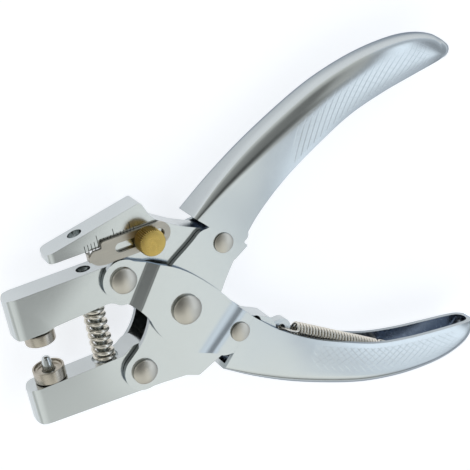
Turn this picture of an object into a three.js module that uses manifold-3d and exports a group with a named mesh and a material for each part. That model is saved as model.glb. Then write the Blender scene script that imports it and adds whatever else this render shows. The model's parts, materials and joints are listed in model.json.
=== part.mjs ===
// Eyelet pliers with parallel jaws, a hole punch over the jaws and a depth gauge
// Lengths are millimetres: X runs from the jaw tips to the handle tips, Y is the way the
// jaws close, and Z is the thickness, with the depth gauge on the upper face
import * as THREE from 'three';
import { mergeVertices } from 'three/addons/utils/BufferGeometryUtils.js';
import Module from 'manifold-3d';

const wasm = await Module();
wasm.setup();

// Linkage: four pins stand at the corners of a rectangle round the main pivot
const PIN_X = 16;
const PIN_Y = 15;
const CLOSE_ANGLE = THREE.MathUtils.degToRad(26.7);

// Thicknesses and running clearances
const JAW_THICK = 8;
const PLATE_THICK = 1.5;
const JAW_PLAY = 0.25;
const PLATE_PLAY = 0.2;
const PIN_PLAY = 0.15;
const HEAD_PLAY = 0.1;
const OVERRUN = 1;

// Jaws
const JAW_TIP_X = 49.3;
const JAW_INNER_Y = 8.7;
const JAW_OUTER_Y = 20;
const JAW_TIP_ROUND = 3.5;
const EDGE_ROUND = 0.8;
const TIP_CORNER_ROUND = 1.6;
const BITE_TIP_Y = 7.4;
const BITE_TIP_X = 40.5;
const BITE_RISE_X = 37.5;
const BITE_RISE_Y = 8.1;
const BITE_END_Y = 8.9;
const SHOULDER_START_X = 20.5;
const SHOULDER_FRONT_X = 17.5;
const SHOULDER_REAR_X = 11;
const SHOULDER_Y = 6.6;
const SHOULDER_ROUND = 4;
const NECK_X = 6.5;
const TAIL_HALF = 4.5;
const TAIL_WALL = 1;
const TAIL_ROUND = 3;
const TAIL_FOOT_X = 12;
const TAIL_LOBE_X = 18.5;
const TAIL_LOBE_Y = 6.9;
const TAIL_HORN_X = 24.4;
const TAIL_HORN_Y = 10.4;
const TAIL_HORN_ROUND = 0.5;
const TAIL_NOTCH_X = 23.2;
const TAIL_NOTCH_Y = 11.8;

// Tail, spring lug and heel of the lower jaw
const LOW_TAIL_Y = 11.4;
const LOW_TAIL_BEND_X = 20;
const NOSE_X = 27.5;
const NOSE_Y = 15.4;
const NOSE_END_X = 29.4;
const NOSE_END_Y = 19.4;
const NOSE_LOW_X = 26;
const NOSE_LOW_Y = 22.4;
const NOSE_ROUND = 2.2;
const LUG_ROOT_X = 25;
const HEEL_FRONT_X = 11;
const HEEL_FRONT_Y = 22.2;
const HEEL_DIP_X = 3;
const HEEL_DIP_Y = 23;
const HEEL_X = 1;
const HEEL_Y = 24.8;
const HEEL_REAR_X = 7.8;
const HEEL_REAR_Y = 21.9;
const TAIL_RISE_X = 12;
const TAIL_RISE_Y = 20.4;
const LUG_X = 31.7;
const LUG_Y = 22.2;
const LUG_HALF = 3.3;
const LUG_THICK = 3;
const LUG_HOLE_R = 1.4;

// Punch arm of the upper jaw, above the slot for the sheet
const ARM_TIP_X = 35;
const ARM_TIP_TOP_Y = 28.9;
const ARM_TIP_ROUND = 2.2;
const ARM_REAR_X = 5.7;
const ARM_REAR_Y = 35;
const ARM_REAR_ROUND = 1;
const SHEET_SLOT_Y = 26.2;
const SHEET_SLOT_X = 16.5;
const SHEET_SLOT_ROUND = 1.5;
const NECK_TOP_X = 3.2;
const NECK_TOP_Y = 29;
const NECK_LOW_X = 4.5;
const NECK_LOW_Y = 24;
const NECK_ROUND = 6;

// Rivets
const MAIN_SHANK_R = 3;
const MAIN_HEAD_R = 4.5;
const MAIN_HEAD_H = 1.8;
const JAW_SHANK_R = 2.5;
const JAW_HEAD_R = 3.8;
const JAW_HEAD_H = 1.6;
const GUIDE_SHANK_R = 2;
const GUIDE_HEAD_R = 3.05;
const GUIDE_HEAD_H = 0.9;
const HEAD_CHAMFER = 0.35;
const SPACER_R = 4.8;

// Front plates of the handles: the joggle lifts the outer pair over the inner pair
const PLATE_END_R = 6.1;
const JOGGLE_FRONT_HIGH = 13.9;
const JOGGLE_FRONT_LOW = 17;
const JOGGLE_REAR_HIGH = 13.8;
const JOGGLE_REAR_LOW = 18.3;
const JOGGLE_LEAN = 0.13;
const RELIEF_R = 1.1;
const RELIEF_S = 22.6;
const RELIEF_N = 9.3;

// Handle channels
const HANDLE_REACH = 104.5;
const HANDLE_SPREAD = 57;
const PLATE_ROUND = 4;
const CHANNEL_WALL = 1.5;
const CHANNEL_SWELL = 0.5;
const TIP_HALF = 3.2;
const CAVITY_END_SHARE = 0.965;
const THIN_END_SHARE = 0.25;
const ROUND_WIDTH_SHARE = 0.96;
const ROUND_DEPTH_SHARE = 0.6;
const WELD_SHARE = 0.05;
const WELD_DEPTH_SHARE = 0.66;

// Eyelet dies near the jaw tips
const DIE_X = 41.7;
const DIE_STEM_R = 2.9;
const DIE_STEM_SEAT = 5.5;
const CUP_R = 4.6;
const CUP_H = 4;
const CUP_PLATE = 3.7;
const CUP_HOLLOW_R = 4.05;
const CUP_HOLLOW_DEPTH = 1;
const CUP_HOLLOW_SLOPE = 0.5;
const CUP_RIM_ROUND = 0.25;
const PILOT_R = 1.25;
const PILOT_BASE_R = 1.8;
const PILOT_RISE = 3.3;
const PILOT_SEAT = 1.6;
const UPPER_DIE_R = 4.4;
const UPPER_DIE_PLATE = 3.25;
const UPPER_DIE_ROUND = 0.4;
const FLARE_GROOVE_R = 3.5;
const DIE_CLOSED_GAP = 0.2;
const FLARE_R = 2.4;
const FLARE_H = 0.7;
const FLARE_BORE_R = 2;
const FLARE_BORE_DEPTH = 4.6;

// Hole punch and its spring
const PUNCH_X = 25;
const PUNCH_R = 1.85;
const PUNCH_SEAT = 8;
const PUNCH_TIP_BACK = 1;
const PUNCH_CUP_R = 1.35;
const PUNCH_CUP_DEPTH = 2;
const GUIDE_PLAY = 0.25;
const SPRING_SEAT_R = 3.9;
const SPRING_SEAT_DEPTH = 0.9;
const PUNCH_WIRE_R = 0.62;
const PUNCH_COIL_R = 2.8;
const PUNCH_TURNS = 6.5;
const PUNCH_END_PITCH = 1.75;
const SPRING_END_PLAY = 0.25;

// Depth gauge: a slotted slide held by a thumb screw
const SLIDE_THICK = 1;
const SLIDE_HALF = 3.4;
const SLIDE_Y = 24.6;
const SLIDE_FRONT_X = 19.8;
const SLIDE_REAR_X = 0.7;
const SLIDE_SLOT_FRONT_X = 15.9;
const SLIDE_SLOT_REAR_X = 1;
const NOSE_TIP_X = 24.4;
const NOSE_TOP_X = 22.4;
const NOSE_TOP_Y = 26.1;
const NOSE_TIP_Y = 24.2;
const STOP_TAB_THICK = 1;
const STOP_TAB_REACH = 1.4;
const STOP_TAB_HALF = 1.2;
const SCREW_X = 6.6;
const SCREW_SHANK_R = 1.3;
const SCREW_SHANK_LENGTH = 6;
const KNOB_R = 3.95;
const KNOB_H = 5;
const KNURL_DEPTH = 0.22;
const KNURLS = 32;

// Return spring in the lower handle
const ANCHOR_SHARE = 0.555;
const ANCHOR_DEPTH = 5.1;
const ANCHOR_R = 1.1;
const ANCHOR_SEAT = 0.8;
const RETURN_WIRE_R = 0.38;
const RETURN_COIL_R = 2.2;
const RETURN_TURNS = 26;
const RETURN_LEAD = 1.6;
const HOOK_RUN = 5.2;
const HOOK_GAP = 0.3;
const HOOK_TAIL = 2.6;
const REAR_HOOK_RUN = 4.4;

// Finish
const STEEL = new THREE.MeshStandardMaterial({ color: 0xc9d1ce, roughness: 0.3, metalness: 1 });
const RIVET_STEEL = new THREE.MeshStandardMaterial({ color: 0xc8c4bc, roughness: 0.28, metalness: 1 });
const BRIGHT_STEEL = new THREE.MeshStandardMaterial({ color: 0xd9dbda, roughness: 0.2, metalness: 1 });
const GREY_STEEL = new THREE.MeshStandardMaterial({ color: 0xa9a7a2, roughness: 0.4, metalness: 1 });
const DIE_STEEL = new THREE.MeshStandardMaterial({ color: 0xb9bcbb, roughness: 0.25, metalness: 1 });
const BRASS = new THREE.MeshStandardMaterial({ color: 0xb58c3a, roughness: 0.35, metalness: 1 });

// Round parts are cut into these counts of flats
const ROUND_SIDES = 24;
const FINE_SIDES = 36;
const ARC_STEP = Math.PI / 14;
const CURL_STEPS = 8;
const EYE_STEPS = 11;
const EYE_SWEEP = THREE.MathUtils.degToRad(270);
const STEEP_LIMIT = 0.9;
const WIRE_SIDES = 5;
const CHANNEL_STEPS = 20;
const CORNER_STEPS = 4;

// Outlines of the handle plates as shares of the pin radius: along the plate from the
// main pivot towards the grip, then across it towards the other handle
const plateInnerShares = [[-0.9, 0.31], [-0.53, 0.43], [-0.25, 0.456], [0.03, 0.44], [0.37, 0.4],
  [0.65, 0.325]];
const plateOuterShares = [[0.98, -0.4], [0.79, -0.415], [0.37, -0.51], [0.01, -0.52], [-0.27, -0.42],
  [-0.42, -0.315], [-0.68, -0.25]];

// Back and mouth of a handle channel as shares of its reach and spread
const backShares = [[0.0823, 0.446], [0.182, 0.582], [0.308, 0.723], [0.472, 0.865], [0.589, 0.94],
  [0.718, 0.988], [0.847, 0.998], [0.943, 0.958], [0.997, 0.874]];
const mouthShares = [[0.204, 0.214], [0.282, 0.356], [0.388, 0.495], [0.526, 0.628], [0.622, 0.702],
  [0.732, 0.754], [0.837, 0.789], [0.928, 0.816], [0.991, 0.835]];
const swellShares = [0, 0, 0.6, 1, 1, 0.7, 0.2, 0, 0];
const narrowShares = [0, 0, 0, 0, 0, 0, 0, 0.25, 1];

// Rounding of a channel's two long corners, as shares of the round of a front plate's corners
const cornerShares = [0.35, 0.35, 0.38, 0.45, 0.6, 0.8, 1.05, 1.2, 1.1];

// Values that follow from the linkage
const pinRadius = Math.hypot(PIN_X, PIN_Y);
const halfClose = CLOSE_ANGLE / 2;
const jawDrop = PIN_Y * (1 - Math.cos(halfClose)) + PIN_X * Math.sin(halfClose);
const slotTravel = 2 * (PIN_X * Math.cos(halfClose) + PIN_Y * Math.sin(halfClose) - PIN_X);
const tailEndX = PIN_X + slotTravel + GUIDE_SHANK_R + PIN_PLAY + TAIL_WALL;
const jawHalf = JAW_THICK / 2;
const innerPlateLow = jawHalf + JAW_PLAY;
const innerPlateHigh = innerPlateLow + PLATE_THICK;
const outerPlateLow = innerPlateHigh + PLATE_PLAY;
const outerPlateHigh = outerPlateLow + PLATE_THICK;
const mainHeadTop = outerPlateHigh + HEAD_PLAY + MAIN_HEAD_H;
const cupRimY = CUP_H - JAW_INNER_Y;
const upperDieFaceY = cupRimY + 2 * jawDrop + DIE_CLOSED_GAP;

// Corners of an outline, each with its rounding radius, become a shape
function roundedShape(corners, side = 1) {
  const points = [];
  const count = corners.length;
  for (let i = 0; i < count; i += 1) {
    const [x, y, radius = 0] = corners[i];
    const here = new THREE.Vector2(x, y);
    const before = new THREE.Vector2(...corners[(i + count - 1) % count].slice(0, 2)).sub(here);
    const after = new THREE.Vector2(...corners[(i + 1) % count].slice(0, 2)).sub(here);
    const room = Math.min(before.length(), after.length()) / 2;
    const u = before.clone().normalize();
    const v = after.clone().normalize();
    const half = Math.acos(THREE.MathUtils.clamp(u.dot(v), -1, 1)) / 2;
    const run = Math.min(radius / Math.tan(half), room);
    const bend = run * Math.tan(half);
    const steps = Math.ceil((Math.PI - 2 * half) / ARC_STEP);
    if (radius === 0 || steps < 1) {
      points.push(here);
      continue;
    }
    const centre = u.clone().add(v).normalize().multiplyScalar(bend / Math.sin(half)).add(here);
    const from = u.clone().multiplyScalar(run).add(here).sub(centre);
    const turn = Math.sign(v.x * u.y - v.y * u.x) * (Math.PI - 2 * half);
    for (let k = 0; k <= steps; k += 1) {
      points.push(from.clone().rotateAround(new THREE.Vector2(), (turn * k) / steps).add(centre));
    }
  }
  return new THREE.Shape(points.map((p) => new THREE.Vector2(p.x, p.y * side)));
}

// A slot with round ends between two points
function slotShape(x0, y0, x1, y1, radius, side = 1) {
  const along = new THREE.Vector2(x1 - x0, y1 - y0).normalize().multiplyScalar(radius);
  const across = new THREE.Vector2(-along.y, along.x);
  return roundedShape([
    [x0 - along.x - across.x, y0 - along.y - across.y, radius],
    [x1 + along.x - across.x, y1 + along.y - across.y, radius],
    [x1 + along.x + across.x, y1 + along.y + across.y, radius],
    [x0 - along.x + across.x, y0 - along.y + across.y, radius],
  ], side);
}

// A closed geometry becomes a solid that can be cut and joined
function solidOf(geometry) {
  const bare = geometry.clone();
  bare.deleteAttribute('normal');
  bare.deleteAttribute('uv');
  const merged = mergeVertices(bare);
  return new wasm.Manifold(new wasm.Mesh({
    numProp: 3,
    vertProperties: new Float32Array(merged.attributes.position.array),
    triVerts: new Uint32Array(merged.index.array),
  }));
}

// A solid becomes a geometry again
function geometryOf(solid) {
  const mesh = solid.getMesh();
  const geometry = new THREE.BufferGeometry();
  const corners = Float32Array.from(mesh.vertProperties);
  geometry.setAttribute('position', new THREE.BufferAttribute(corners, 3));
  geometry.setIndex(new THREE.BufferAttribute(Uint32Array.from(mesh.triVerts), 1));
  geometry.computeVertexNormals();
  return geometry;
}

// A shape drawn in X and Y, standing between two heights
function slab(shape, low, high) {
  return solidOf(new THREE.ExtrudeGeometry(shape, { depth: high - low, bevelEnabled: false })
    .translate(0, 0, low));
}

// Round bars along Z and along Y
function barZ(radius, x, y, low, high, sides = ROUND_SIDES) {
  const bar = new THREE.CylinderGeometry(radius, radius, high - low, sides);
  return solidOf(bar.rotateX(Math.PI / 2).translate(x, y, (low + high) / 2));
}

function barY(radius, x, low, high, sides = ROUND_SIDES) {
  const bar = new THREE.CylinderGeometry(radius, radius, high - low, sides);
  return solidOf(bar.translate(x, (low + high) / 2, 0));
}

// A turned part about Y from its profile of radius and height
function turned(profile, sides = ROUND_SIDES) {
  return new THREE.LatheGeometry(profile.map(([r, h]) => new THREE.Vector2(r, h)), sides);
}

// Two wedges that round the upright edges at the tip of a bar
function tipWedges(tipX, radius, low, high) {
  const wedges = [1, -1].map((face) => {
    const shape = new THREE.Shape();
    shape.moveTo(-tipX - OVERRUN, face * (jawHalf + OVERRUN));
    shape.lineTo(-tipX + radius, face * (jawHalf + OVERRUN));
    shape.lineTo(-tipX + radius, face * jawHalf);
    const steps = CORNER_STEPS + 1;
    for (let k = 1; k <= steps; k += 1) {
      const angle = (Math.PI / 2) * (k / steps);
      const inset = radius - radius * Math.cos(angle);
      shape.lineTo(-tipX + radius - radius * Math.sin(angle), face * (jawHalf - inset));
    }
    shape.lineTo(-tipX - OVERRUN, face * (jawHalf - radius));
    const block = new THREE.ExtrudeGeometry(shape, { depth: high - low, bevelEnabled: false });
    return solidOf(block.rotateX(Math.PI / 2).translate(0, high, 0));
  });
  return wedges[0].add(wedges[1]);
}

// Shoulder that both jaws share, between the straight inner edge and the tail
const shoulder = [
  [-SHOULDER_FRONT_X, SHOULDER_Y, SHOULDER_ROUND],
  [-SHOULDER_REAR_X, SHOULDER_Y, SHOULDER_ROUND],
];

// Pivot hole and slot for the guide pin in a jaw's tail
function pinCuts(side) {
  const low = -jawHalf - OVERRUN;
  const high = jawHalf + OVERRUN;
  const pivot = barZ(JAW_SHANK_R + PIN_PLAY, -PIN_X, side * PIN_Y, low, high);
  const slot = slotShape(PIN_X, PIN_Y, PIN_X + slotTravel, PIN_Y, GUIDE_SHANK_R + PIN_PLAY, side);
  return pivot.add(slab(slot, low, high));
}

function upperJaw() {
  const outline = roundedShape([
    [-JAW_TIP_X, BITE_TIP_Y, TIP_CORNER_ROUND],
    [-BITE_TIP_X, BITE_TIP_Y, SHOULDER_ROUND],
    [-BITE_RISE_X, BITE_RISE_Y, SHOULDER_ROUND],
    [-SHOULDER_START_X, BITE_END_Y, SHOULDER_ROUND],
    ...shoulder,
    [-NECK_X, PIN_Y - TAIL_HALF, SHOULDER_ROUND],
    [TAIL_FOOT_X, PIN_Y - TAIL_HALF, SHOULDER_ROUND],
    [TAIL_LOBE_X, TAIL_LOBE_Y, TAIL_ROUND],
    [TAIL_HORN_X, TAIL_HORN_Y, TAIL_HORN_ROUND],
    [TAIL_NOTCH_X, TAIL_NOTCH_Y, TAIL_HORN_ROUND],
    [tailEndX, PIN_Y - GUIDE_SHANK_R, TAIL_ROUND],
    [tailEndX, PIN_Y + TAIL_HALF, TAIL_ROUND],
    [TAIL_RISE_X, TAIL_RISE_Y, NECK_ROUND],
    [NECK_LOW_X, NECK_LOW_Y, NECK_ROUND],
    [-NECK_TOP_X, NECK_TOP_Y, NECK_ROUND],
    [-ARM_REAR_X, ARM_REAR_Y, ARM_REAR_ROUND],
    [-ARM_TIP_X, ARM_TIP_TOP_Y, EDGE_ROUND],
    [-ARM_TIP_X, SHEET_SLOT_Y, EDGE_ROUND],
    [-SHEET_SLOT_X, SHEET_SLOT_Y, SHEET_SLOT_ROUND],
    [-SHEET_SLOT_X, JAW_OUTER_Y, SHEET_SLOT_ROUND],
    [-JAW_TIP_X, JAW_OUTER_Y, TIP_CORNER_ROUND],
  ]);
  const body = slab(outline, -jawHalf, jawHalf);
  const guideR = PUNCH_R + GUIDE_PLAY;
  const screwHoleR = SCREW_SHANK_R + PIN_PLAY;
  return body
    .subtract(tipWedges(JAW_TIP_X, JAW_TIP_ROUND, BITE_TIP_Y - OVERRUN, JAW_OUTER_Y + OVERRUN))
    .subtract(tipWedges(ARM_TIP_X, ARM_TIP_ROUND, SHEET_SLOT_Y - OVERRUN, ARM_TIP_TOP_Y + OVERRUN))
    .subtract(pinCuts(1))
    .subtract(barY(guideR, -PUNCH_X, BITE_TIP_Y - OVERRUN, ARM_REAR_Y + OVERRUN))
    .subtract(barY(DIE_STEM_R + PIN_PLAY, -DIE_X, BITE_TIP_Y - OVERRUN, JAW_INNER_Y + DIE_STEM_SEAT))
    .subtract(barZ(screwHoleR, -SCREW_X, SLIDE_Y, -jawHalf - OVERRUN, jawHalf + OVERRUN));
}

function lowerJaw() {
  const outline = roundedShape([
    [-JAW_TIP_X, JAW_INNER_Y, TIP_CORNER_ROUND],
    [-SHOULDER_START_X, JAW_INNER_Y, SHOULDER_ROUND],
    ...shoulder,
    [-NECK_X, LOW_TAIL_Y, SHOULDER_ROUND],
    [LOW_TAIL_BEND_X, LOW_TAIL_Y, NECK_ROUND],
    [NOSE_X, NOSE_Y, NOSE_ROUND],
    [NOSE_END_X, NOSE_END_Y, NOSE_ROUND],
    [NOSE_LOW_X, NOSE_LOW_Y, NOSE_ROUND],
    [TAIL_RISE_X, TAIL_RISE_Y, NECK_ROUND],
    [HEEL_REAR_X, HEEL_REAR_Y, SHOULDER_ROUND],
    [HEEL_X, HEEL_Y, SHEET_SLOT_ROUND],
    [-HEEL_DIP_X, HEEL_DIP_Y, SHOULDER_ROUND],
    [-HEEL_FRONT_X, HEEL_FRONT_Y, NECK_ROUND],
    [-JAW_TIP_X, JAW_OUTER_Y, TIP_CORNER_ROUND],
  ], -1);
  const lug = slotShape(LUG_ROOT_X, LUG_Y, LUG_X, LUG_Y, LUG_HALF, -1);
  const seatY = -JAW_INNER_Y - SPRING_SEAT_DEPTH;
  return slab(outline, -jawHalf, jawHalf)
    .add(slab(lug, -LUG_THICK / 2, LUG_THICK / 2))
    .subtract(tipWedges(JAW_TIP_X, JAW_TIP_ROUND, -JAW_OUTER_Y - OVERRUN, -JAW_INNER_Y + OVERRUN))
    .subtract(pinCuts(-1))
    .subtract(barZ(LUG_HOLE_R, LUG_X, -LUG_Y, -LUG_THICK, LUG_THICK))
    .subtract(barY(PUNCH_R + PIN_PLAY, -PUNCH_X, -JAW_INNER_Y - PUNCH_SEAT, -JAW_INNER_Y + OVERRUN))
    .subtract(barY(SPRING_SEAT_R, -PUNCH_X, seatY, -JAW_INNER_Y + OVERRUN))
    .subtract(barY(DIE_STEM_R + PIN_PLAY, -DIE_X, -JAW_INNER_Y - DIE_STEM_SEAT, -JAW_INNER_Y + OVERRUN));
}

// A point given along and across the plate of the upper handle, or of the lower one
function platePoint(s, n) {
  const alongX = PIN_X / pinRadius;
  const alongY = PIN_Y / pinRadius;
  return [s * alongX + n * alongY, s * alongY - n * alongX];
}

// Smooth back, mouth, half width and corner rounding of the channel at a share of its length
const asCurve = (shares, a, b) => new THREE.CatmullRomCurve3(
  shares.map(([x, y]) => new THREE.Vector3(x * a, y * b, 0)),
);
const backCurve = asCurve(backShares, HANDLE_REACH, HANDLE_SPREAD);
const mouthCurve = asCurve(mouthShares, HANDLE_REACH, HANDLE_SPREAD);
const widthCurve = new THREE.CatmullRomCurve3(swellShares.map((swell, i) => new THREE.Vector3(
  innerPlateHigh + CHANNEL_SWELL * swell - (innerPlateHigh - TIP_HALF) * narrowShares[i],
  PLATE_ROUND * cornerShares[i],
  0,
)));

function channelAt(share) {
  const back = backCurve.getPoint(share);
  const mouth = mouthCurve.getPoint(share);
  const { x: half, y: bend } = widthCurve.getPoint(share);
  return { back, mouth, half, bend };
}

// Place of the return spring's anchor pin, a depth below the mouth of the channel
const anchorPlace = channelAt(ANCHOR_SHARE);
const anchorInward = anchorPlace.back.clone().sub(anchorPlace.mouth).setLength(ANCHOR_DEPTH);
const anchorX = anchorPlace.mouth.x + anchorInward.x;
const anchorY = anchorPlace.mouth.y + anchorInward.y;

// Cross-section of the channel, from the mouth (with a wall taken off for the cavity)
function channelSection(place, wall, lift, side) {
  const { back, mouth, half, bend } = place;
  const inward = back.clone().sub(mouth);
  const depth = inward.length() - wall;
  inward.normalize();
  const z = Math.max(half - wall, half * THIN_END_SHARE);
  const round = Math.min(bend - wall / 2, z * ROUND_WIDTH_SHARE, depth * ROUND_DEPTH_SHARE);
  const ring = [[-lift, z]];
  for (const face of [1, -1]) {
    for (let k = 0; k <= CORNER_STEPS; k += 1) {
      const step = face > 0 ? k : CORNER_STEPS - k;
      const angle = (Math.PI / 2) * (step / CORNER_STEPS);
      ring.push([depth - round + round * Math.sin(angle), face * (z - round + round * Math.cos(angle))]);
    }
  }
  ring.push([-lift, -z]);
  return ring.map(([u, w]) => [mouth.x + inward.x * u, side * (mouth.y + inward.y * u), w]);
}

// Rings of equal point counts are skinned into a closed body
function skinned(rings, flip) {
  const count = rings[0].length;
  const position = rings.flat(2);
  const index = [];
  const face = (a, b, c) => index.push(...(flip ? [a, c, b] : [a, b, c]));
  for (let i = 0; i + 1 < rings.length; i += 1) {
    for (let k = 0; k < count; k += 1) {
      const next = (k + 1) % count;
      const a = i * count;
      const b = a + count;
      face(a + k, b + k, b + next);
      face(a + k, b + next, a + next);
    }
  }
  const last = (rings.length - 1) * count;
  for (let k = 1; k + 1 < count; k += 1) {
    face(0, k, k + 1);
    face(last, last + k + 1, last + k);
  }
  const geometry = new THREE.BufferGeometry();
  geometry.setAttribute('position', new THREE.Float32BufferAttribute(position, 3));
  geometry.setIndex(index);
  return geometry;
}

function channel(side) {
  const outside = [];
  const hollow = [];
  const first = channelAt(0);
  const ahead = channelAt(WELD_SHARE);
  const lead = first.back.clone().sub(ahead.back).setLength(OVERRUN);
  const forward = {
    back: first.back.clone().add(lead),
    mouth: first.mouth.clone().add(lead),
    half: first.half,
    bend: first.bend,
  };
  hollow.push(channelSection(forward, CHANNEL_WALL, OVERRUN, side));
  for (let i = 0; i <= CHANNEL_STEPS; i += 1) {
    const place = channelAt(i / CHANNEL_STEPS);
    outside.push(channelSection(place, 0, 0, side));
    const inner = channelAt((CAVITY_END_SHARE * i) / CHANNEL_STEPS);
    hollow.push(channelSection(inner, CHANNEL_WALL, OVERRUN, side));
  }
  return solidOf(skinned(outside, side < 0)).subtract(solidOf(skinned(hollow, side < 0)));
}

// One front plate of a handle: a round end, and an outline welded into the channel's wall
function frontPlate(side, low, high) {
  const root = channelAt(0);
  const weld = channelAt(WELD_SHARE);
  const deep = (place) => place.mouth.clone().lerp(place.back, WELD_DEPTH_SHARE);
  const corner = ([s, n]) => [...platePoint(s * pinRadius, n * pinRadius), PLATE_ROUND];
  const outline = roundedShape([
    platePoint(-pinRadius, -PLATE_END_R),
    platePoint(-pinRadius, PLATE_END_R),
    ...plateInnerShares.map(corner),
    [root.mouth.x, root.mouth.y],
    [weld.mouth.x, weld.mouth.y],
    [deep(weld).x, deep(weld).y],
    [deep(root).x, deep(root).y],
    ...plateOuterShares.map(corner),
  ], side);
  const end = barZ(PLATE_END_R, -PIN_X, -side * PIN_Y, low, high, FINE_SIDES);
  return slab(outline, low, high).add(end);
}

// The joggled band that lifts the outer plates round the main pivot; its folds fan out to one side
function joggleBand(face) {
  const far = HANDLE_REACH;
  const wide = 2 * pinRadius;
  const line = (low, high) => [
    [-far, low], [-JOGGLE_FRONT_LOW, low], [-JOGGLE_FRONT_HIGH, high], [JOGGLE_REAR_HIGH, high],
    [JOGGLE_REAR_LOW, low], [far, low],
  ];
  const under = line(innerPlateLow, outerPlateLow);
  const over = line(innerPlateHigh, outerPlateHigh).reverse();
  const shape = new THREE.Shape([...under, ...over].map(([s, z]) => new THREE.Vector2(s, face * z)));
  const band = new THREE.ExtrudeGeometry(shape, { depth: 2 * wide, bevelEnabled: false })
    .translate(0, 0, -wide).rotateX(Math.PI / 2);
  const corners = band.attributes.position;
  for (let i = 0; i < corners.count; i += 1) {
    const s = corners.getX(i);
    corners.setX(i, s + Math.sign(s) * JOGGLE_LEAN * corners.getY(i));
  }
  return solidOf(band.rotateZ(-Math.atan2(PIN_Y, PIN_X)));
}

function handleHoles(side) {
  const low = -mainHeadTop;
  const high = mainHeadTop;
  const relief = platePoint(RELIEF_S, -RELIEF_N);
  return barZ(MAIN_SHANK_R + PIN_PLAY, 0, 0, low, high)
    .add(barZ(JAW_SHANK_R + PIN_PLAY, -PIN_X, -side * PIN_Y, low, high))
    .add(barZ(GUIDE_SHANK_R + PIN_PLAY, PIN_X, side * PIN_Y, low, high))
    .add(barZ(RELIEF_R, relief[0], side * relief[1], low, high));
}

function upperHandle() {
  const plates = frontPlate(1, innerPlateLow, innerPlateHigh)
    .add(frontPlate(1, -innerPlateHigh, -innerPlateLow));
  return channel(1).add(plates).subtract(handleHoles(1));
}

function lowerHandle() {
  const near = frontPlate(-1, innerPlateLow, outerPlateHigh).intersect(joggleBand(1));
  const far = frontPlate(-1, -outerPlateHigh, -innerPlateLow).intersect(joggleBand(-1));
  const seat = channelAt(0).half - CHANNEL_WALL + ANCHOR_SEAT;
  return channel(-1).add(near).add(far)
    .subtract(handleHoles(-1))
    .subtract(barZ(ANCHOR_R + PIN_PLAY, anchorX, -anchorY, -seat, seat));
}

// A rivet along Z with a chamfered head on each side
function rivet(shankR, headR, headH, seat) {
  const top = seat + HEAD_PLAY + headH;
  const under = seat + HEAD_PLAY;
  const profile = [
    [0, -top], [headR - HEAD_CHAMFER, -top], [headR, -top + HEAD_CHAMFER], [headR, -under],
    [shankR, -under], [shankR, under],
    [headR, under], [headR, top - HEAD_CHAMFER], [headR - HEAD_CHAMFER, top], [0, top],
  ];
  return turned(profile).rotateX(Math.PI / 2);
}

function mainSpacer() {
  return barZ(SPACER_R, 0, 0, -jawHalf, jawHalf)
    .subtract(barZ(MAIN_SHANK_R + PIN_PLAY, 0, 0, -jawHalf - OVERRUN, jawHalf + OVERRUN));
}

// Upper die: a stem, a plate and a flaring ring with a bore for the pilot pin
function upperDie() {
  const face = upperDieFaceY;
  return turned([
    [0, face + FLARE_BORE_DEPTH],
    [FLARE_BORE_R, face + FLARE_BORE_DEPTH],
    [FLARE_BORE_R, face],
    [FLARE_R, face],
    [FLARE_R + FLARE_H / 2, face + FLARE_H],
    [FLARE_GROOVE_R, face + FLARE_H],
    [FLARE_GROOVE_R, face],
    [UPPER_DIE_R - UPPER_DIE_ROUND, face],
    [UPPER_DIE_R, face + UPPER_DIE_ROUND],
    [UPPER_DIE_R, face + UPPER_DIE_PLATE],
    [DIE_STEM_R, face + UPPER_DIE_PLATE],
    [DIE_STEM_R, JAW_INNER_Y + DIE_STEM_SEAT - PIN_PLAY],
    [0, JAW_INNER_Y + DIE_STEM_SEAT - PIN_PLAY],
  ]);
}

// Lower die: a stem under a cup with a thin rim
function lowerDieCup() {
  const foot = -JAW_INNER_Y - DIE_STEM_SEAT + PIN_PLAY;
  const plateY = cupRimY - CUP_PLATE;
  const floorY = cupRimY - CUP_HOLLOW_DEPTH;
  const seatY = floorY - PILOT_SEAT;
  const seatR = PILOT_BASE_R + PIN_PLAY;
  return turned([
    [0, foot], [DIE_STEM_R, foot], [DIE_STEM_R, plateY], [CUP_R, plateY],
    [CUP_R, cupRimY - CUP_RIM_ROUND], [CUP_R - CUP_RIM_ROUND, cupRimY],
    [CUP_HOLLOW_R, cupRimY], [CUP_HOLLOW_R - CUP_HOLLOW_SLOPE, floorY],
    [seatR, floorY], [seatR, seatY], [0, seatY],
  ]);
}

function pilotPin() {
  const floorY = cupRimY - CUP_HOLLOW_DEPTH;
  const domeY = cupRimY + PILOT_RISE - PILOT_R;
  const profile = [
    [0, floorY - PILOT_SEAT + PIN_PLAY], [PILOT_BASE_R, floorY - PILOT_SEAT + PIN_PLAY],
    [PILOT_BASE_R, floorY],
  ];
  for (let k = 0; k < CORNER_STEPS; k += 1) {
    const angle = (Math.PI / 2) * (k / CORNER_STEPS);
    profile.push([PILOT_R * Math.cos(angle), domeY + PILOT_R * Math.sin(angle)]);
  }
  return turned([...profile, [0, domeY + PILOT_R]]);
}

// Punch rod: its hollow cutting end waits inside the upper jaw
function punchRod() {
  const foot = -JAW_INNER_Y - PUNCH_SEAT + PIN_PLAY;
  const tip = JAW_OUTER_Y - PUNCH_TIP_BACK;
  return turned([
    [0, foot], [PUNCH_R, foot], [PUNCH_R, tip - EDGE_ROUND], [PUNCH_CUP_R + PIN_PLAY, tip],
    [PUNCH_CUP_R, tip], [PUNCH_CUP_R, tip - PUNCH_CUP_DEPTH], [0, tip - PUNCH_CUP_DEPTH],
  ]);
}

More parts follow.
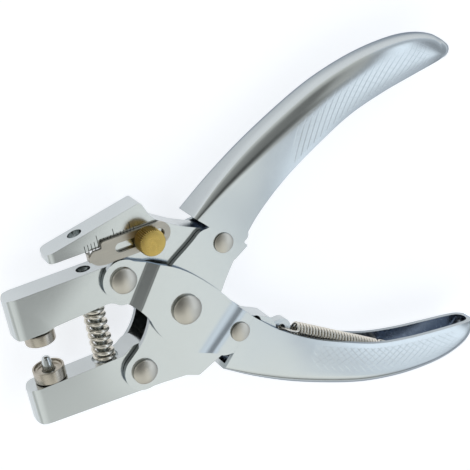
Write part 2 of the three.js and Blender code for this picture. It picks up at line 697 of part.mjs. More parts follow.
// Wire along a list of points, with frames carried along so that it doesn't twist
function wire(path, radius) {
  const rings = [];
  let normal = null;
  path.forEach((point, i) => {
    const before = path[Math.max(i - 1, 0)];
    const after = path[Math.min(i + 1, path.length - 1)];
    const tangent = after.clone().sub(before).normalize();
    if (normal === null) {
      const steep = Math.abs(tangent.z) > STEEP_LIMIT;
      normal = steep ? new THREE.Vector3(0, 1, 0) : new THREE.Vector3(0, 0, 1);
    }
    normal = normal.clone().addScaledVector(tangent, -normal.dot(tangent)).normalize();
    const side = new THREE.Vector3().crossVectors(tangent, normal);
    const ring = [];
    for (let k = 0; k < WIRE_SIDES; k += 1) {
      const angle = (2 * Math.PI * k) / WIRE_SIDES;
      const at = point.clone().addScaledVector(normal, radius * Math.cos(angle));
      ring.push(at.addScaledVector(side, radius * Math.sin(angle)).toArray());
    }
    rings.push(ring);
  });
  return skinned(rings, true);
}

// Least clear gap of a wire to itself, between points more than half a curl apart
function leastGap(path, radius) {
  let least = Infinity;
  for (let i = 0; i < path.length; i += 1) {
    for (let k = i + CURL_STEPS / 2; k < path.length; k += 1) {
      least = Math.min(least, path[i].distanceTo(path[k]) - 2 * radius);
    }
  }
  return least;
}

// Compression spring round the punch rod, with closer curls at its two ends
function punchSpring() {
  const low = -JAW_INNER_Y - SPRING_SEAT_DEPTH + PUNCH_WIRE_R + SPRING_END_PLAY;
  const high = BITE_RISE_Y - PUNCH_WIRE_R;
  const open = (high - low - 2 * PUNCH_END_PITCH) / (PUNCH_TURNS - 2);
  const heightAt = (turn) => {
    if (turn < 1) {
      return low + turn * PUNCH_END_PITCH;
    }
    if (turn > PUNCH_TURNS - 1) {
      return high - (PUNCH_TURNS - turn) * PUNCH_END_PITCH;
    }
    return low + PUNCH_END_PITCH + (turn - 1) * open;
  };
  const path = [];
  for (let i = 0; i <= PUNCH_TURNS * CURL_STEPS; i += 1) {
    const turn = i / CURL_STEPS;
    const angle = 2 * Math.PI * turn;
    path.push(new THREE.Vector3(
      -PUNCH_X + PUNCH_COIL_R * Math.cos(angle),
      heightAt(turn),
      PUNCH_COIL_R * Math.sin(angle),
    ));
  }
  console.log(`punch spring: least gap to itself ${leastGap(path, PUNCH_WIRE_R).toFixed(2)} mm`);
  return wire(path, PUNCH_WIRE_R);
}

// Frame of the return spring: its axis runs from the lug's hole back to the anchor
const hookEye = new THREE.Vector3(LUG_X, -LUG_Y, 0);
const anchorEye = new THREE.Vector3(anchorX, -anchorY, 0);
const springLength = hookEye.distanceTo(anchorEye);
const springAlong = anchorEye.clone().sub(hookEye).normalize();
const springAcross = new THREE.Vector3(-springAlong.y, springAlong.x, 0);
const coilEnd = springLength - REAR_HOOK_RUN;
function springPoint(along, across, z) {
  return hookEye.clone().addScaledVector(springAlong, along).addScaledVector(springAcross, across)
    .add(new THREE.Vector3(0, 0, z));
}

// Coil of the return spring with the hook that holds the anchor pin
function returnSpring() {
  const path = [];
  const coilRun = coilEnd - HOOK_RUN - RETURN_LEAD;
  path.push(springPoint(HOOK_RUN, 0, RETURN_COIL_R));
  for (let i = 0; i <= RETURN_TURNS * CURL_STEPS; i += 1) {
    const angle = (2 * Math.PI * i) / CURL_STEPS;
    const along = HOOK_RUN + RETURN_LEAD + (coilRun * i) / (RETURN_TURNS * CURL_STEPS);
    path.push(springPoint(along, RETURN_COIL_R * Math.sin(angle), RETURN_COIL_R * Math.cos(angle)));
  }
  const eyeR = RETURN_COIL_R;
  const quarter = CURL_STEPS / 4;
  for (let i = 1; i <= quarter; i += 1) {
    const angle = (Math.PI / 2) * (i / quarter);
    const along = coilEnd + (RETURN_LEAD * i) / quarter;
    path.push(springPoint(along, eyeR * Math.sin(angle), eyeR * Math.cos(angle)));
  }
  for (let i = 0; i <= EYE_STEPS; i += 1) {
    const angle = (EYE_SWEEP * i) / EYE_STEPS;
    path.push(springPoint(springLength + eyeR * Math.sin(angle), eyeR * Math.cos(angle), 0));
  }
  console.log(`return spring: least gap to itself ${leastGap(path, RETURN_WIRE_R).toFixed(2)} mm`);
  return wire(path, RETURN_WIRE_R);
}

// Front hook of the return spring, through the hole in the lower jaw's lug
function springHook() {
  const path = [springPoint(HOOK_RUN - HOOK_GAP, 0, RETURN_COIL_R)];
  for (let i = 0; i <= CURL_STEPS; i += 1) {
    const angle = (Math.PI * i) / CURL_STEPS;
    const along = RETURN_COIL_R - RETURN_COIL_R * Math.sin(angle);
    path.push(springPoint(along, 0, RETURN_COIL_R * Math.cos(angle)));
  }
  path.push(springPoint(RETURN_COIL_R + HOOK_TAIL, 0, -RETURN_COIL_R));
  return wire(path, RETURN_WIRE_R);
}

function anchorPin() {
  const reach = channelAt(0).half - CHANNEL_WALL + ANCHOR_SEAT - PIN_PLAY;
  return geometryOf(barZ(ANCHOR_R, anchorX, -anchorY, -reach, reach));
}

// Slide of the depth gauge with its hooked nose and the stop tab inside the slot
function depthStop() {
  const low = jawHalf + JAW_PLAY;
  const high = low + SLIDE_THICK;
  const plate = roundedShape([
    [-SLIDE_FRONT_X, SLIDE_Y - SLIDE_HALF, SLIDE_THICK],
    [-SLIDE_REAR_X + SLIDE_HALF / 2, SLIDE_Y - SLIDE_HALF, SLIDE_HALF],
    [-SLIDE_REAR_X + SLIDE_HALF / 2, SLIDE_Y + SLIDE_HALF, SLIDE_HALF],
    [-SLIDE_FRONT_X, SLIDE_Y + SLIDE_HALF, SLIDE_THICK],
    [-SLIDE_FRONT_X, NOSE_TOP_Y, SLIDE_THICK / 2],
    [-NOSE_TOP_X, NOSE_TOP_Y, SLIDE_THICK / 2],
    [-NOSE_TIP_X, NOSE_TIP_Y, SLIDE_THICK],
    [-NOSE_TOP_X, SLIDE_Y - SLIDE_HALF + SLIDE_THICK / 2, SLIDE_HALF],
  ]);
  const slot = slotShape(
    -SLIDE_SLOT_FRONT_X + SCREW_SHANK_R,
    SLIDE_Y,
    -SLIDE_SLOT_REAR_X - SCREW_SHANK_R,
    SLIDE_Y,
    SCREW_SHANK_R + PIN_PLAY,
  );
  const tabRise = STOP_TAB_REACH + JAW_PLAY + SLIDE_THICK / 2;
  const tab = new THREE.BoxGeometry(STOP_TAB_THICK, 2 * STOP_TAB_HALF, tabRise);
  const tabX = -NOSE_TIP_X + STOP_TAB_THICK;
  tab.translate(tabX, NOSE_TIP_Y, jawHalf - STOP_TAB_REACH + tabRise / 2);
  return slab(plate, low, high).subtract(slab(slot, low - OVERRUN, high + OVERRUN)).add(solidOf(tab));
}

// Thumb screw: a knurled knob on a plain shank
function thumbScrew() {
  const shape = new THREE.Shape();
  for (let i = 0; i < 2 * KNURLS; i += 1) {
    const radius = i % 2 === 0 ? KNOB_R : KNOB_R - KNURL_DEPTH;
    const angle = (Math.PI * i) / KNURLS;
    const x = radius * Math.cos(angle);
    const y = radius * Math.sin(angle);
    if (i === 0) {
      shape.moveTo(x, y);
    } else {
      shape.lineTo(x, y);
    }
  }
  const base = jawHalf + JAW_PLAY + SLIDE_THICK + PLATE_PLAY;
  const knob = solidOf(new THREE.ExtrudeGeometry(shape, { depth: KNOB_H, bevelEnabled: false })
    .translate(-SCREW_X, SLIDE_Y, base));
  return knob.add(barZ(SCREW_SHANK_R, -SCREW_X, SLIDE_Y, base - SCREW_SHANK_LENGTH, base + KNOB_H / 2));
}

// The assembly: the centre of the main rivet's lower head is the origin
const model = new THREE.Group();
const lift = new THREE.Group();
lift.position.set(0, 0, mainHeadTop);
model.add(lift);

function place(name, piece, material, x = 0, y = 0) {
  const geometry = piece instanceof THREE.BufferGeometry ? piece : geometryOf(piece);
  const mesh = new THREE.Mesh(geometry, material);
  mesh.name = name;
  mesh.position.set(x, y, 0);
  lift.add(mesh);
}

place('upper_jaw', upperJaw(), STEEL);
place('lower_jaw', lowerJaw(), STEEL);
place('upper_handle', upperHandle(), STEEL);
place('lower_handle', lowerHandle(), STEEL);
place('main_rivet', rivet(MAIN_SHANK_R, MAIN_HEAD_R, MAIN_HEAD_H, outerPlateHigh), RIVET_STEEL);
place('main_spacer', mainSpacer(), GREY_STEEL);
const jawRivet = rivet(JAW_SHANK_R, JAW_HEAD_R, JAW_HEAD_H, innerPlateHigh);
place('upper_jaw_rivet', jawRivet, RIVET_STEEL, -PIN_X, PIN_Y);
place('lower_jaw_rivet', jawRivet.clone(), RIVET_STEEL, -PIN_X, -PIN_Y);
const guidePin = rivet(GUIDE_SHANK_R, GUIDE_HEAD_R, GUIDE_HEAD_H, innerPlateHigh);
place('upper_guide_pin', guidePin, RIVET_STEEL, PIN_X, PIN_Y);
place('lower_guide_pin', guidePin.clone(), RIVET_STEEL, PIN_X, -PIN_Y);
place('upper_die', upperDie(), DIE_STEEL, -DIE_X);
place('lower_die_cup', lowerDieCup(), DIE_STEEL, -DIE_X);
place('pilot_pin', pilotPin(), BRIGHT_STEEL, -DIE_X);
place('punch_rod', punchRod(), BRIGHT_STEEL, -PUNCH_X);
place('punch_spring', punchSpring(), BRIGHT_STEEL);
place('return_spring', returnSpring(), BRIGHT_STEEL);
place('return_spring_hook', springHook(), BRIGHT_STEEL);
place('spring_anchor_pin', anchorPin(), GREY_STEEL);
place('depth_stop', depthStop(), GREY_STEEL);
place('thumb_screw', thumbScrew(), BRASS);

export default model;
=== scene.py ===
"""Eyelet pliers: plated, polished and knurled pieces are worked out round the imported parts."""
import json
import math

import bmesh
import bpy
import numpy as np
from mathutils import Matrix, Vector


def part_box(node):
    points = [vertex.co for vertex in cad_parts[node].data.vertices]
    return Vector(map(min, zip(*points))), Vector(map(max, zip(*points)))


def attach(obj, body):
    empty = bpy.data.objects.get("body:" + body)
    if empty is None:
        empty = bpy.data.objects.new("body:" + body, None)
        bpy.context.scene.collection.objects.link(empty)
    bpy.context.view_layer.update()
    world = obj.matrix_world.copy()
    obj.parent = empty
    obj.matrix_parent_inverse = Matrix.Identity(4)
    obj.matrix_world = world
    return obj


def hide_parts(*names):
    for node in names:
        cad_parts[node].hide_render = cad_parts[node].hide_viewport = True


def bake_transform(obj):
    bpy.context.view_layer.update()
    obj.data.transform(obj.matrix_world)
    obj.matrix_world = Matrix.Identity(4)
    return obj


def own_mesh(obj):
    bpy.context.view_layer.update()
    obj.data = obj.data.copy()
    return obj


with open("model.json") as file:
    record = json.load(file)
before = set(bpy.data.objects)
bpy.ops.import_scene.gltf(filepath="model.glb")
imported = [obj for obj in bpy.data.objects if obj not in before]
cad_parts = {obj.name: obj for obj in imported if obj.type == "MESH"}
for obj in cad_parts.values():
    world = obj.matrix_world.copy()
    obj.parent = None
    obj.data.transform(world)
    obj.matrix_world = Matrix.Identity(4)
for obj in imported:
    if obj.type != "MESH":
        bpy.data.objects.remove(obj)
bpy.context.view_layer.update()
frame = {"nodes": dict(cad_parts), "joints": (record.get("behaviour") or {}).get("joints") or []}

bl_info = {
    "name": "Eyelet pliers",
    "version": (1, 0, 0),
    "blender": (4, 5, 0),
    "location": "View3D > Sidebar > Eyelet pliers",
    "description": "Finishes parallel-jaw eyelet pliers with plated, polished and knurled pieces",
    "category": "Add Mesh",
}

MM = 0.001
COLOUR = {"min": 0.0, "max": 1.0, "subtype": "COLOR"}
JOINTS = {joint["name"]: joint for joint in frame["joints"]}
MID_Z = JOINTS["handle_pivot"]["pos_m"][2]
PIN_X = -JOINTS["upper_jaw_pivot"]["pos_m"][0]
PIN_Y = JOINTS["upper_jaw_pivot"]["pos_m"][1]
PIN_RADIUS = math.hypot(PIN_X, PIN_Y)


def low_of(node):
    return np.array(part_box(node)[0])


def high_of(node):
    return np.array(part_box(node)[1])


def middle_of(node):
    return (low_of(node) + high_of(node)) / 2


class EyeletPliersSizes(bpy.types.PropertyGroup):
    """Sizes that a user would change"""

    edge_round: bpy.props.FloatProperty(
        name="Edge rounding", description="Rounding of the jaws' sharp edges",
        default=0.35 * MM, min=0.0, unit="LENGTH")
    sheet_round: bpy.props.FloatProperty(
        name="Sheet edge rounding", description="Rounding of the pressed handles' edges",
        default=0.55 * MM, min=0.0, unit="LENGTH")
    head_dome: bpy.props.FloatProperty(
        name="Rivet dome", description="Share of a rivet head's height that its dome takes",
        default=0.42, min=0.0, max=1.0, subtype="FACTOR")
    mark_pitch: bpy.props.FloatProperty(
        name="Scale pitch", description="Distance from one mark of the depth gauge to the next",
        default=1.0 * MM, min=0.0, unit="LENGTH")
    mark_width: bpy.props.FloatProperty(
        name="Mark width", description="Width of an engraved mark",
        default=0.2 * MM, min=0.0, unit="LENGTH")
    hatch_pitch: bpy.props.FloatProperty(
        name="Grip pitch", description="Distance along the handle between the grooves of the grip",
        default=2.7 * MM, min=0.0, unit="LENGTH")
    knurls: bpy.props.IntProperty(
        name="Knurls", description="Ridges round the rim of the thumb screw", default=40, min=8)
    punch_turns: bpy.props.FloatProperty(
        name="Punch spring turns", description="Turns of the spring round the punch",
        default=7.4, min=2.0)
    return_turns: bpy.props.IntProperty(
        name="Return spring turns", description="Turns of the spring in the lower handle",
        default=28, min=4)


class EyeletPliersFinish(bpy.types.PropertyGroup):
    """Colours that a user would change"""

    plating: bpy.props.FloatVectorProperty(
        name="Plating", description="Colour of the plated jaws and handles",
        default=(0.60, 0.63, 0.63), **COLOUR)
    rivet: bpy.props.FloatVectorProperty(
        name="Rivets", description="Colour of the nickel rivets",
        default=(0.56, 0.53, 0.465), **COLOUR)
    die: bpy.props.FloatVectorProperty(
        name="Dies", description="Colour of the turned steel dies",
        default=(0.46, 0.42, 0.355), **COLOUR)
    # Darker and bluer than the plating outside: painted shade inside the hollow handles.
    inside: bpy.props.FloatVectorProperty(
        name="Channel inside", description="Colour of the unpolished plating inside the handles",
        default=(0.42, 0.47, 0.54), **COLOUR)
    slide: bpy.props.FloatVectorProperty(
        name="Gauge slide", description="Colour of the brushed slide of the depth gauge",
        default=(0.50, 0.47, 0.41), **COLOUR)
    spring: bpy.props.FloatVectorProperty(
        name="Springs", description="Colour of the bright spring wire",
        default=(0.76, 0.72, 0.64), **COLOUR)
    brass: bpy.props.FloatVectorProperty(
        name="Brass", description="Colour of the brass thumb screw",
        default=(0.56, 0.40, 0.12), **COLOUR)
    mark: bpy.props.FloatVectorProperty(
        name="Marks", description="Colour at the bottom of the engraved marks",
        default=(0.11, 0.12, 0.11), **COLOUR)


def sizes():
    return bpy.context.scene.eyelet_pliers_sizes


def finish():
    return bpy.context.scene.eyelet_pliers_finish


# Shader nodes

MASK_RANGE = (0.3, 0.7)
PIT_RANGE = (0.68, 0.8)
GROOVES = [(1.25, 0.75), (-1.25, 1.0)]
GROOVE_HALF = 0.08
GROOVE_DEPTH = 0.05 * MM
PANEL_RIM = 1.2 * MM
PANEL_DULL = 0.06
WORN_SHARE = 0.3
HATCH = {"Start": 25 * MM, "End": 84 * MM, "Height": 11 * MM}
SATIN = dict(roughness=0.18, spread=0.03, grain=0.03, relief=0.0012)
# The grips get a dark edge tint: painted shade along the handles' contours, where they are seen
# edge-on.
GRIP = dict(SATIN, contour_shade_tint=(0.3, 0.34, 0.4))
FINISHES = {
    "satin_plating": ("plating", SATIN),
    "upper_grip": ("plating", dict(GRIP, hatch={**HATCH, "Slant": 0.9})),
    "lower_grip": ("plating", dict(GRIP, hatch=HATCH)),
    # The hollows' plating is darker and bluer: painted shade in the channels.
    "channel_inside": ("inside", dict(roughness=0.22, spread=0.1, smudge_scale=90.0)),
    "rivet_nickel": ("rivet", dict(roughness=0.3, spread=0.04, smudge_scale=160.0, grain=0.03)),
    "turned_die": ("die", dict(roughness=0.26, smudge_scale=220.0, stretch=(0.3, 3.0, 0.3),
                               relief=0.006)),
    "bright_turned": ("plating", dict(roughness=0.16, spread=0.06, smudge_scale=200.0)),
    "spring_wire": ("spring", dict(roughness=0.22, smudge_scale=300.0)),
    "brushed_slide": ("slide", dict(roughness=0.36, smudge_scale=160.0, grain_scale=1400.0,
                                    stretch=(0.12, 2.0, 1.0), grain=0.16, relief=0.008)),
    "inner_steel": ("slide", dict(roughness=0.4, spread=0.1, darker=0.75)),
    "turned_brass": ("brass", dict(roughness=0.3, spread=0.1, smudge_scale=260.0, relief=0.005,
                                   darker=0.86)),
    "engraved_mark": ("mark", dict(roughness=0.6, spread=0.2, darker=0.7)),
}


def add_node(tree, kind, settings=None, **inputs):
    """A node whose settings are attributes; an input is a value, or a socket that gets linked, and
    its name is that of the socket, or _ and its number."""
    node = tree.nodes.new(kind)
    for key, value in (settings or {}).items():
        setattr(node, key, value)
    for key, value in inputs.items():
        numbered = key[0] == "_" and key[1:].isdigit()
        socket = node.inputs[int(key[1:]) if numbered else key.replace("_", " ")]
        if isinstance(value, bpy.types.NodeSocket):
            tree.links.new(value, socket)
        else:
            socket.default_value = value
    return node


def maths(tree, operation, *values, clamp=False):
    sockets = {f"_{place}": value for place, value in enumerate(values)}
    settings = {"operation": operation, "use_clamp": clamp}
    return add_node(tree, "ShaderNodeMath", settings, **sockets).outputs[0]


def scaled(tree, value, low, high, start, end, smooth=False):
    """Straight or smooth step of a value: start up to low, and end from high on."""
    kind = "SMOOTHSTEP" if smooth else "LINEAR"
    return add_node(tree, "ShaderNodeMapRange", {"interpolation_type": kind}, Value=value,
                    From_Min=low, From_Max=high, To_Min=start, To_Max=end).outputs[0]


def ramp(tree, value, low, high, start=0.0, end=1.0):
    return scaled(tree, value, low, high, start, end, smooth=True)


def mixed(tree, factor, first, second):
    """The first value where the factor is nought, and the second where it is one."""
    return add_node(tree, "ShaderNodeMix", {"data_type": "FLOAT"}, Factor=factor, A=first,
                    B=second).outputs[0]


def mixed_colour(tree, factor, first, second):
    """As mixed, for two colours of four channels."""
    return add_node(tree, "ShaderNodeMix", {"data_type": "RGBA"}, _0=factor, _6=first,
                    _7=second).outputs[2]


def empty_material(name):
    material = bpy.data.materials.new(name)
    material.use_nodes = True
    material.node_tree.nodes.clear()
    return material, material.node_tree


def shader_group(name, inputs, outputs):
    """An empty node group, from its inputs' values and from its outputs' names, which are floats."""
    group = bpy.data.node_groups.new(name, "ShaderNodeTree")
    for label, value in inputs.items():
        kind = "NodeSocketFloat" if isinstance(value, float) else "NodeSocketVector"
        group.interface.new_socket(label, in_out="INPUT", socket_type=kind).default_value = value
    for label in outputs:
        group.interface.new_socket(label, in_out="OUTPUT", socket_type="NodeSocketFloat")
    return group, group.nodes.new("NodeGroupInput"), group.nodes.new("NodeGroupOutput")


def surface_wear_group():
    """Soft smudges, fine drawn grain and small pits, each a mask about a half, from one place."""
    if "surface_wear" in bpy.data.node_groups:
        return bpy.data.node_groups["surface_wear"]
    inputs = {"Place": (0.0, 0.0, 0.0), "Smudge Scale": 60.0, "Grain Scale": 900.0,
              "Grain Stretch": (1.0, 1.0, 1.0)}
    group, source, sink = shader_group("surface_wear", inputs, ("Smudge", "Grain", "Pit"))
    place, smudge_scale, grain_scale, stretch = source.outputs[:len(inputs)]

    def noise(where, scale, detail, roughness):
        return add_node(group, "ShaderNodeTexNoise", Vector=where, Scale=scale, Detail=detail,
                        Roughness=roughness).outputs["Fac"]

    stretched = add_node(group, "ShaderNodeVectorMath", {"operation": "MULTIPLY"}, _0=place,
                         _1=stretch)
    masks = {"Smudge": noise(place, smudge_scale, 3.0, 0.55),
             "Grain": noise(stretched.outputs[0], grain_scale, 2.0, 0.6),
             "Pit": ramp(group, noise(place, grain_scale, 1.0, 0.5), *PIT_RANGE)}
    for label, mask in masks.items():
        group.links.new(mask, sink.inputs[label])
    return group


def grip_hatch_group():
    """Two families of thin grooves that cross in diamonds, one of them fainter. They lie on a panel
    that fades in at its edges and is worn towards its end; its start may slant."""
    if "grip_hatch" in bpy.data.node_groups:
        return bpy.data.node_groups["grip_hatch"]
    inputs = {"Along": 0.0, "Across": 0.0, "Pitch": 0.0032, "Start": 0.03, "Slant": 0.0, "End": 0.1,
              "Height": 0.01}
    group, source, sink = shader_group("grip_hatch", inputs, ("Lines", "Panel"))
    along, across, pitch, start, slant, end, height = source.outputs[:len(inputs)]
    grooves = []
    for lean, depth in GROOVES:
        total = maths(group, "ADD", along, maths(group, "MULTIPLY", across, lean))
        wave = maths(group, "PINGPONG", maths(group, "DIVIDE", total, pitch), 0.5)
        grooves.append(ramp(group, wave, GROOVE_HALF, 0.0, 0.0, depth))
    ahead = maths(group, "SUBTRACT", along, maths(group, "MULTIPLY", across, slant))
    panel = ramp(group, across, PANEL_RIM, 1.5 * PANEL_RIM)
    for high, low in ((ahead, start), (end, along), (height, across)):
        inside = maths(group, "SUBTRACT", high, low)
        panel = maths(group, "MULTIPLY", panel, ramp(group, inside, 0.0, 4 * PANEL_RIM))
    panel = maths(group, "MULTIPLY", panel, scaled(group, along, start, end, 1.0, WORN_SHARE))
    shown = maths(group, "MULTIPLY", maths(group, "MAXIMUM", *grooves), panel)
    group.links.new(shown, sink.inputs["Lines"])
    group.links.new(panel, sink.inputs["Panel"])
    return group


def tinted(tree, colour, mask, darker):
    """The colour, and a darker one where the mask is low."""
    shade = [channel * darker for channel in colour]
    return mixed_colour(tree, mask, (*shade, 1.0), (*colour, 1.0))


def metal(name, colour, roughness=0.2, spread=0.08, smudge_scale=60.0, grain_scale=900.0,
          stretch=(1.0, 1.0, 1.0), grain=0.1, relief=0.004, darker=0.9, hatch=None, contour_shade_tint=None):
    """A metal with smudges in its gloss, a drawn grain and a few pits; hatch adds the grip, and
    a dark tint dims its reflection where it is seen along its surface: painted shade along its
    contours."""
    material, tree = empty_material(name)
    place = add_node(tree, "ShaderNodeTexCoord").outputs["Object"]
    smudge, drawn, pit = add_node(
        tree, "ShaderNodeGroup", {"node_tree": surface_wear_group()}, Place=place,
        Smudge_Scale=smudge_scale, Grain_Scale=grain_scale, Grain_Stretch=stretch).outputs
    dull = scaled(tree, smudge, *MASK_RANGE, roughness - spread / 2, roughness + spread / 2)
    grainy = scaled(tree, drawn, *MASK_RANGE, -grain / 2, grain / 2)
    rough = maths(tree, "ADD", dull, grainy, clamp=True)
    bump = add_node(tree, "ShaderNodeBump", Strength=0.5, Distance=relief * MM,
                    Height=maths(tree, "SUBTRACT", drawn, pit))
    if hatch:
        reach = add_node(tree, "ShaderNodeUVMap", {"uv_map": "grip"}).outputs[0]
        along, across, _ = add_node(tree, "ShaderNodeSeparateXYZ", Vector=reach).outputs
        grip = {"node_tree": grip_hatch_group()}
        lines, panel = add_node(tree, "ShaderNodeGroup", grip, Along=along, Across=across,
                                Pitch=sizes().hatch_pitch, **hatch).outputs
        bump = add_node(tree, "ShaderNodeBump", {"invert": True}, Strength=0.6,
                        Distance=GROOVE_DEPTH, Height=lines, Normal=bump.outputs[0])
        rough = maths(tree, "MULTIPLY_ADD", panel, PANEL_DULL, rough)
    shader = add_node(tree, "ShaderNodeBsdfPrincipled", Metallic=1.0, Roughness=rough,
                      Normal=bump.outputs[0], Base_Color=tinted(tree, colour, smudge, darker))
    # Painted shade: the dark tint dims the reflection along the contours.
    if contour_shade_tint:
        shader.inputs["Specular Tint"].default_value = (*contour_shade_tint, 1.0)
    add_node(tree, "ShaderNodeOutputMaterial", Surface=shader.outputs[0])
    return material


def material_of(name):
    """Each finish is made once and shared by its pieces."""
    if name in bpy.data.materials:
        return bpy.data.materials[name]
    colour, looks = FINISHES[name]
    return metal(name, getattr(finish(), colour), **looks)


# Meshes from arrays

def unit(vectors):
    return vectors / np.maximum(np.linalg.norm(vectors, axis=-1, keepdims=True), 1e-12)


def rounded(corners, steps=6, closed=True):
    """Outline through corners (x, y, radius): each becomes the arc of a parabola that touches both
    of its sides at the distance where a circle of that radius would."""
    points = np.array([corner[:2] for corner in corners], float)
    radii = np.array([corner[2] if len(corner) > 2 else 0.0 for corner in corners])
    before, after = np.roll(points, 1, 0) - points, np.roll(points, -1, 0) - points
    if not closed:
        radii[[0, -1]] = 0.0
    u, v = unit(before), unit(after)
    half = np.arccos(np.clip((u * v).sum(1), -1, 1)) / 2
    room = np.minimum(np.linalg.norm(before, axis=1), np.linalg.norm(after, axis=1)) / 2
    reach = radii / np.maximum(np.tan(half), 1e-9)
    run = np.where(radii > 0, np.minimum(reach, room), 0.0)[:, None, None]
    t = np.linspace(0, 1, steps + 1)[None, :, None]
    arcs = points[:, None] + u[:, None] * run * (1 - t) ** 2 + v[:, None] * run * t ** 2
    flat = arcs.reshape(-1, 2)
    keep = np.linalg.norm(flat - np.roll(flat, 1, 0), axis=1) > 1e-8
    keep[0] = keep[0] or not closed
    return flat[keep]


def grid_quads(rows, columns, wrap):
    """Faces of a grid of points kept row after row; wrap joins the last column to the first."""
    r = np.arange(rows - 1)[:, None] * columns
    c = np.arange(columns if wrap else columns - 1)[None, :]
    n = (c + 1) % columns
    return np.stack([r + c, r + n, r + columns + n, r + columns + c], -1).reshape(-1, 4)


def capped(rings, low, high, sides):
    """Rings of a turned part, one after another, closed at both ends by a fan round a point."""
    count = len(rings)
    k = np.arange(sides)
    n = (k + 1) % sides
    last = count - sides
    return np.vstack([rings, [low, high]]), [
        grid_quads(count // sides, sides, True), np.stack([np.full(sides, count), n, k], -1),
        np.stack([np.full(sides, count + 1), last + k, last + n], -1)]


def lathe(profile, sides=96):
    """Turned solid about Z: a point is radius times (cosine, sine) of the angle, and its height.
    The profile starts and ends on the axis."""
    radius, height = profile[1:-1].T
    angle = np.arange(sides) * 2 * np.pi / sides
    rings = np.stack([np.outer(radius, np.cos(angle)), np.outer(radius, np.sin(angle)),
                      np.outer(height, np.ones(sides))], -1).reshape(-1, 3)
    return capped(rings, (0, 0, profile[0, 1]), (0, 0, profile[-1, 1]), sides)


def swept(path, radius, sides=12):
    """Round wire: at each station of the path a circle stands across it, in a frame that is carried
    along the path without twist; both ends are closed by a flat cap."""
    tangent = unit(np.gradient(path, axis=0))
    least = np.eye(3)[np.argmin(np.abs(tangent[0]))]
    normal = np.empty_like(path)
    for station, way in enumerate(tangent):
        least = unit(least - way * (least @ way))
        normal[station] = least
    side = np.cross(tangent, normal)
    angle = (np.arange(sides) * 2 * np.pi / sides)[:, None]
    spokes = normal[:, None] * np.cos(angle) + side[:, None] * np.sin(angle)
    rings = path[:, None] + radius * spokes
    last = (len(path) - 1) * sides + np.arange(sides)
    caps = [np.arange(sides)[None, ::-1], last[None]]
    return rings.reshape(-1, 3), [grid_quads(len(path), sides, True), *caps]


def block(low, high):
    """Plain bar between two corners."""
    x, y, z = np.array([low, high], float).T
    points = np.array([[x[i], y[j], z[k]] for i in (0, 1) for j in (0, 1) for k in (0, 1)])
    return points, [np.array([[0, 1, 3, 2], [4, 6, 7, 5], [0, 4, 5, 1], [2, 3, 7, 6], [0, 2, 6, 4],
                              [1, 5, 7, 3]])]


def turned_to_y(points):
    """The Z axis of a turned piece laid along Y."""
    return np.stack([points[:, 0], points[:, 2], -points[:, 1]], -1)


def make_piece(name, parts, material, body, node=None, sharp=35.0, uv=None):
    """One object from closed parts, each (points, lists of faces), with normals turned outwards."""
    points, faces, start = [], [], 0
    for part_points, part_faces in parts:
        points.append(part_points)
        for group in part_faces:
            faces.extend((np.asarray(group) + start).tolist())
        start += len(part_points)
    mesh = bpy.data.meshes.new(name)
    mesh.from_pydata(np.vstack(points).tolist(), [], faces)
    if uv is not None:
        layer = mesh.uv_layers.new(name="grip")
        corners = np.empty(len(mesh.loops), int)
        mesh.loops.foreach_get("vertex_index", corners)
        layer.data.foreach_set("uv", uv[corners].astype(np.float32).ravel())
    outward(mesh)
    shade(mesh, sharp)
    return dress(name, mesh, material, body, node)


def outward(mesh):
    work = bmesh.new()
    work.from_mesh(mesh)
    bmesh.ops.recalc_face_normals(work, faces=work.faces)
    work.to_mesh(mesh)
    work.free()


def shade(mesh, sharp):
    mesh.shade_smooth()
    mesh.set_sharp_from_angle(angle=math.radians(sharp))
    mesh.update()


def new_object(name, data):
    item = bpy.data.objects.new(name, data)
    bpy.context.scene.collection.objects.link(item)
    return item


def dress(name, mesh, material, body, node):
    piece = new_object(name, mesh)
    mesh.materials.append(material_of(material))
    if body:
        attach(piece, body)
    if node:
        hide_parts(*([node] if isinstance(node, str) else node))
    return piece


def merged_copy(node, name, material, body, width, sharp=30.0):
    """The node's own shape with its flat faces joined, and its sharp edges rounded."""
    mesh = frame["nodes"][node].data.copy()
    mesh.name = name
    mesh.materials.clear()
    work = bmesh.new()
    work.from_mesh(mesh)
    bmesh.ops.remove_doubles(work, verts=work.verts, dist=2e-6)
    bmesh.ops.dissolve_degenerate(work, edges=work.edges, dist=2e-6)
    bmesh.ops.dissolve_limit(work, angle_limit=math.radians(0.6), verts=work.verts,
                             edges=work.edges)
    work.to_mesh(mesh)
    work.free()
    shade(mesh, sharp)
    round_edges(dress(name, mesh, material, body, node), width, sharp)


def round_edges(piece, width, angle, segments=3):
    bevel = piece.modifiers.new("edge_rounding", "BEVEL")
    bevel.width = width
    bevel.segments = segments
    bevel.limit_method = "ANGLE"
    bevel.angle_limit = math.radians(angle)
    bevel.use_clamp_overlap = True
    bevel.harden_normals = True
    bevel.miter_outer = "MITER_ARC"


# Handles: shares of reach and spread, or of PIN_RADIUS for a plate, from the front to the rear

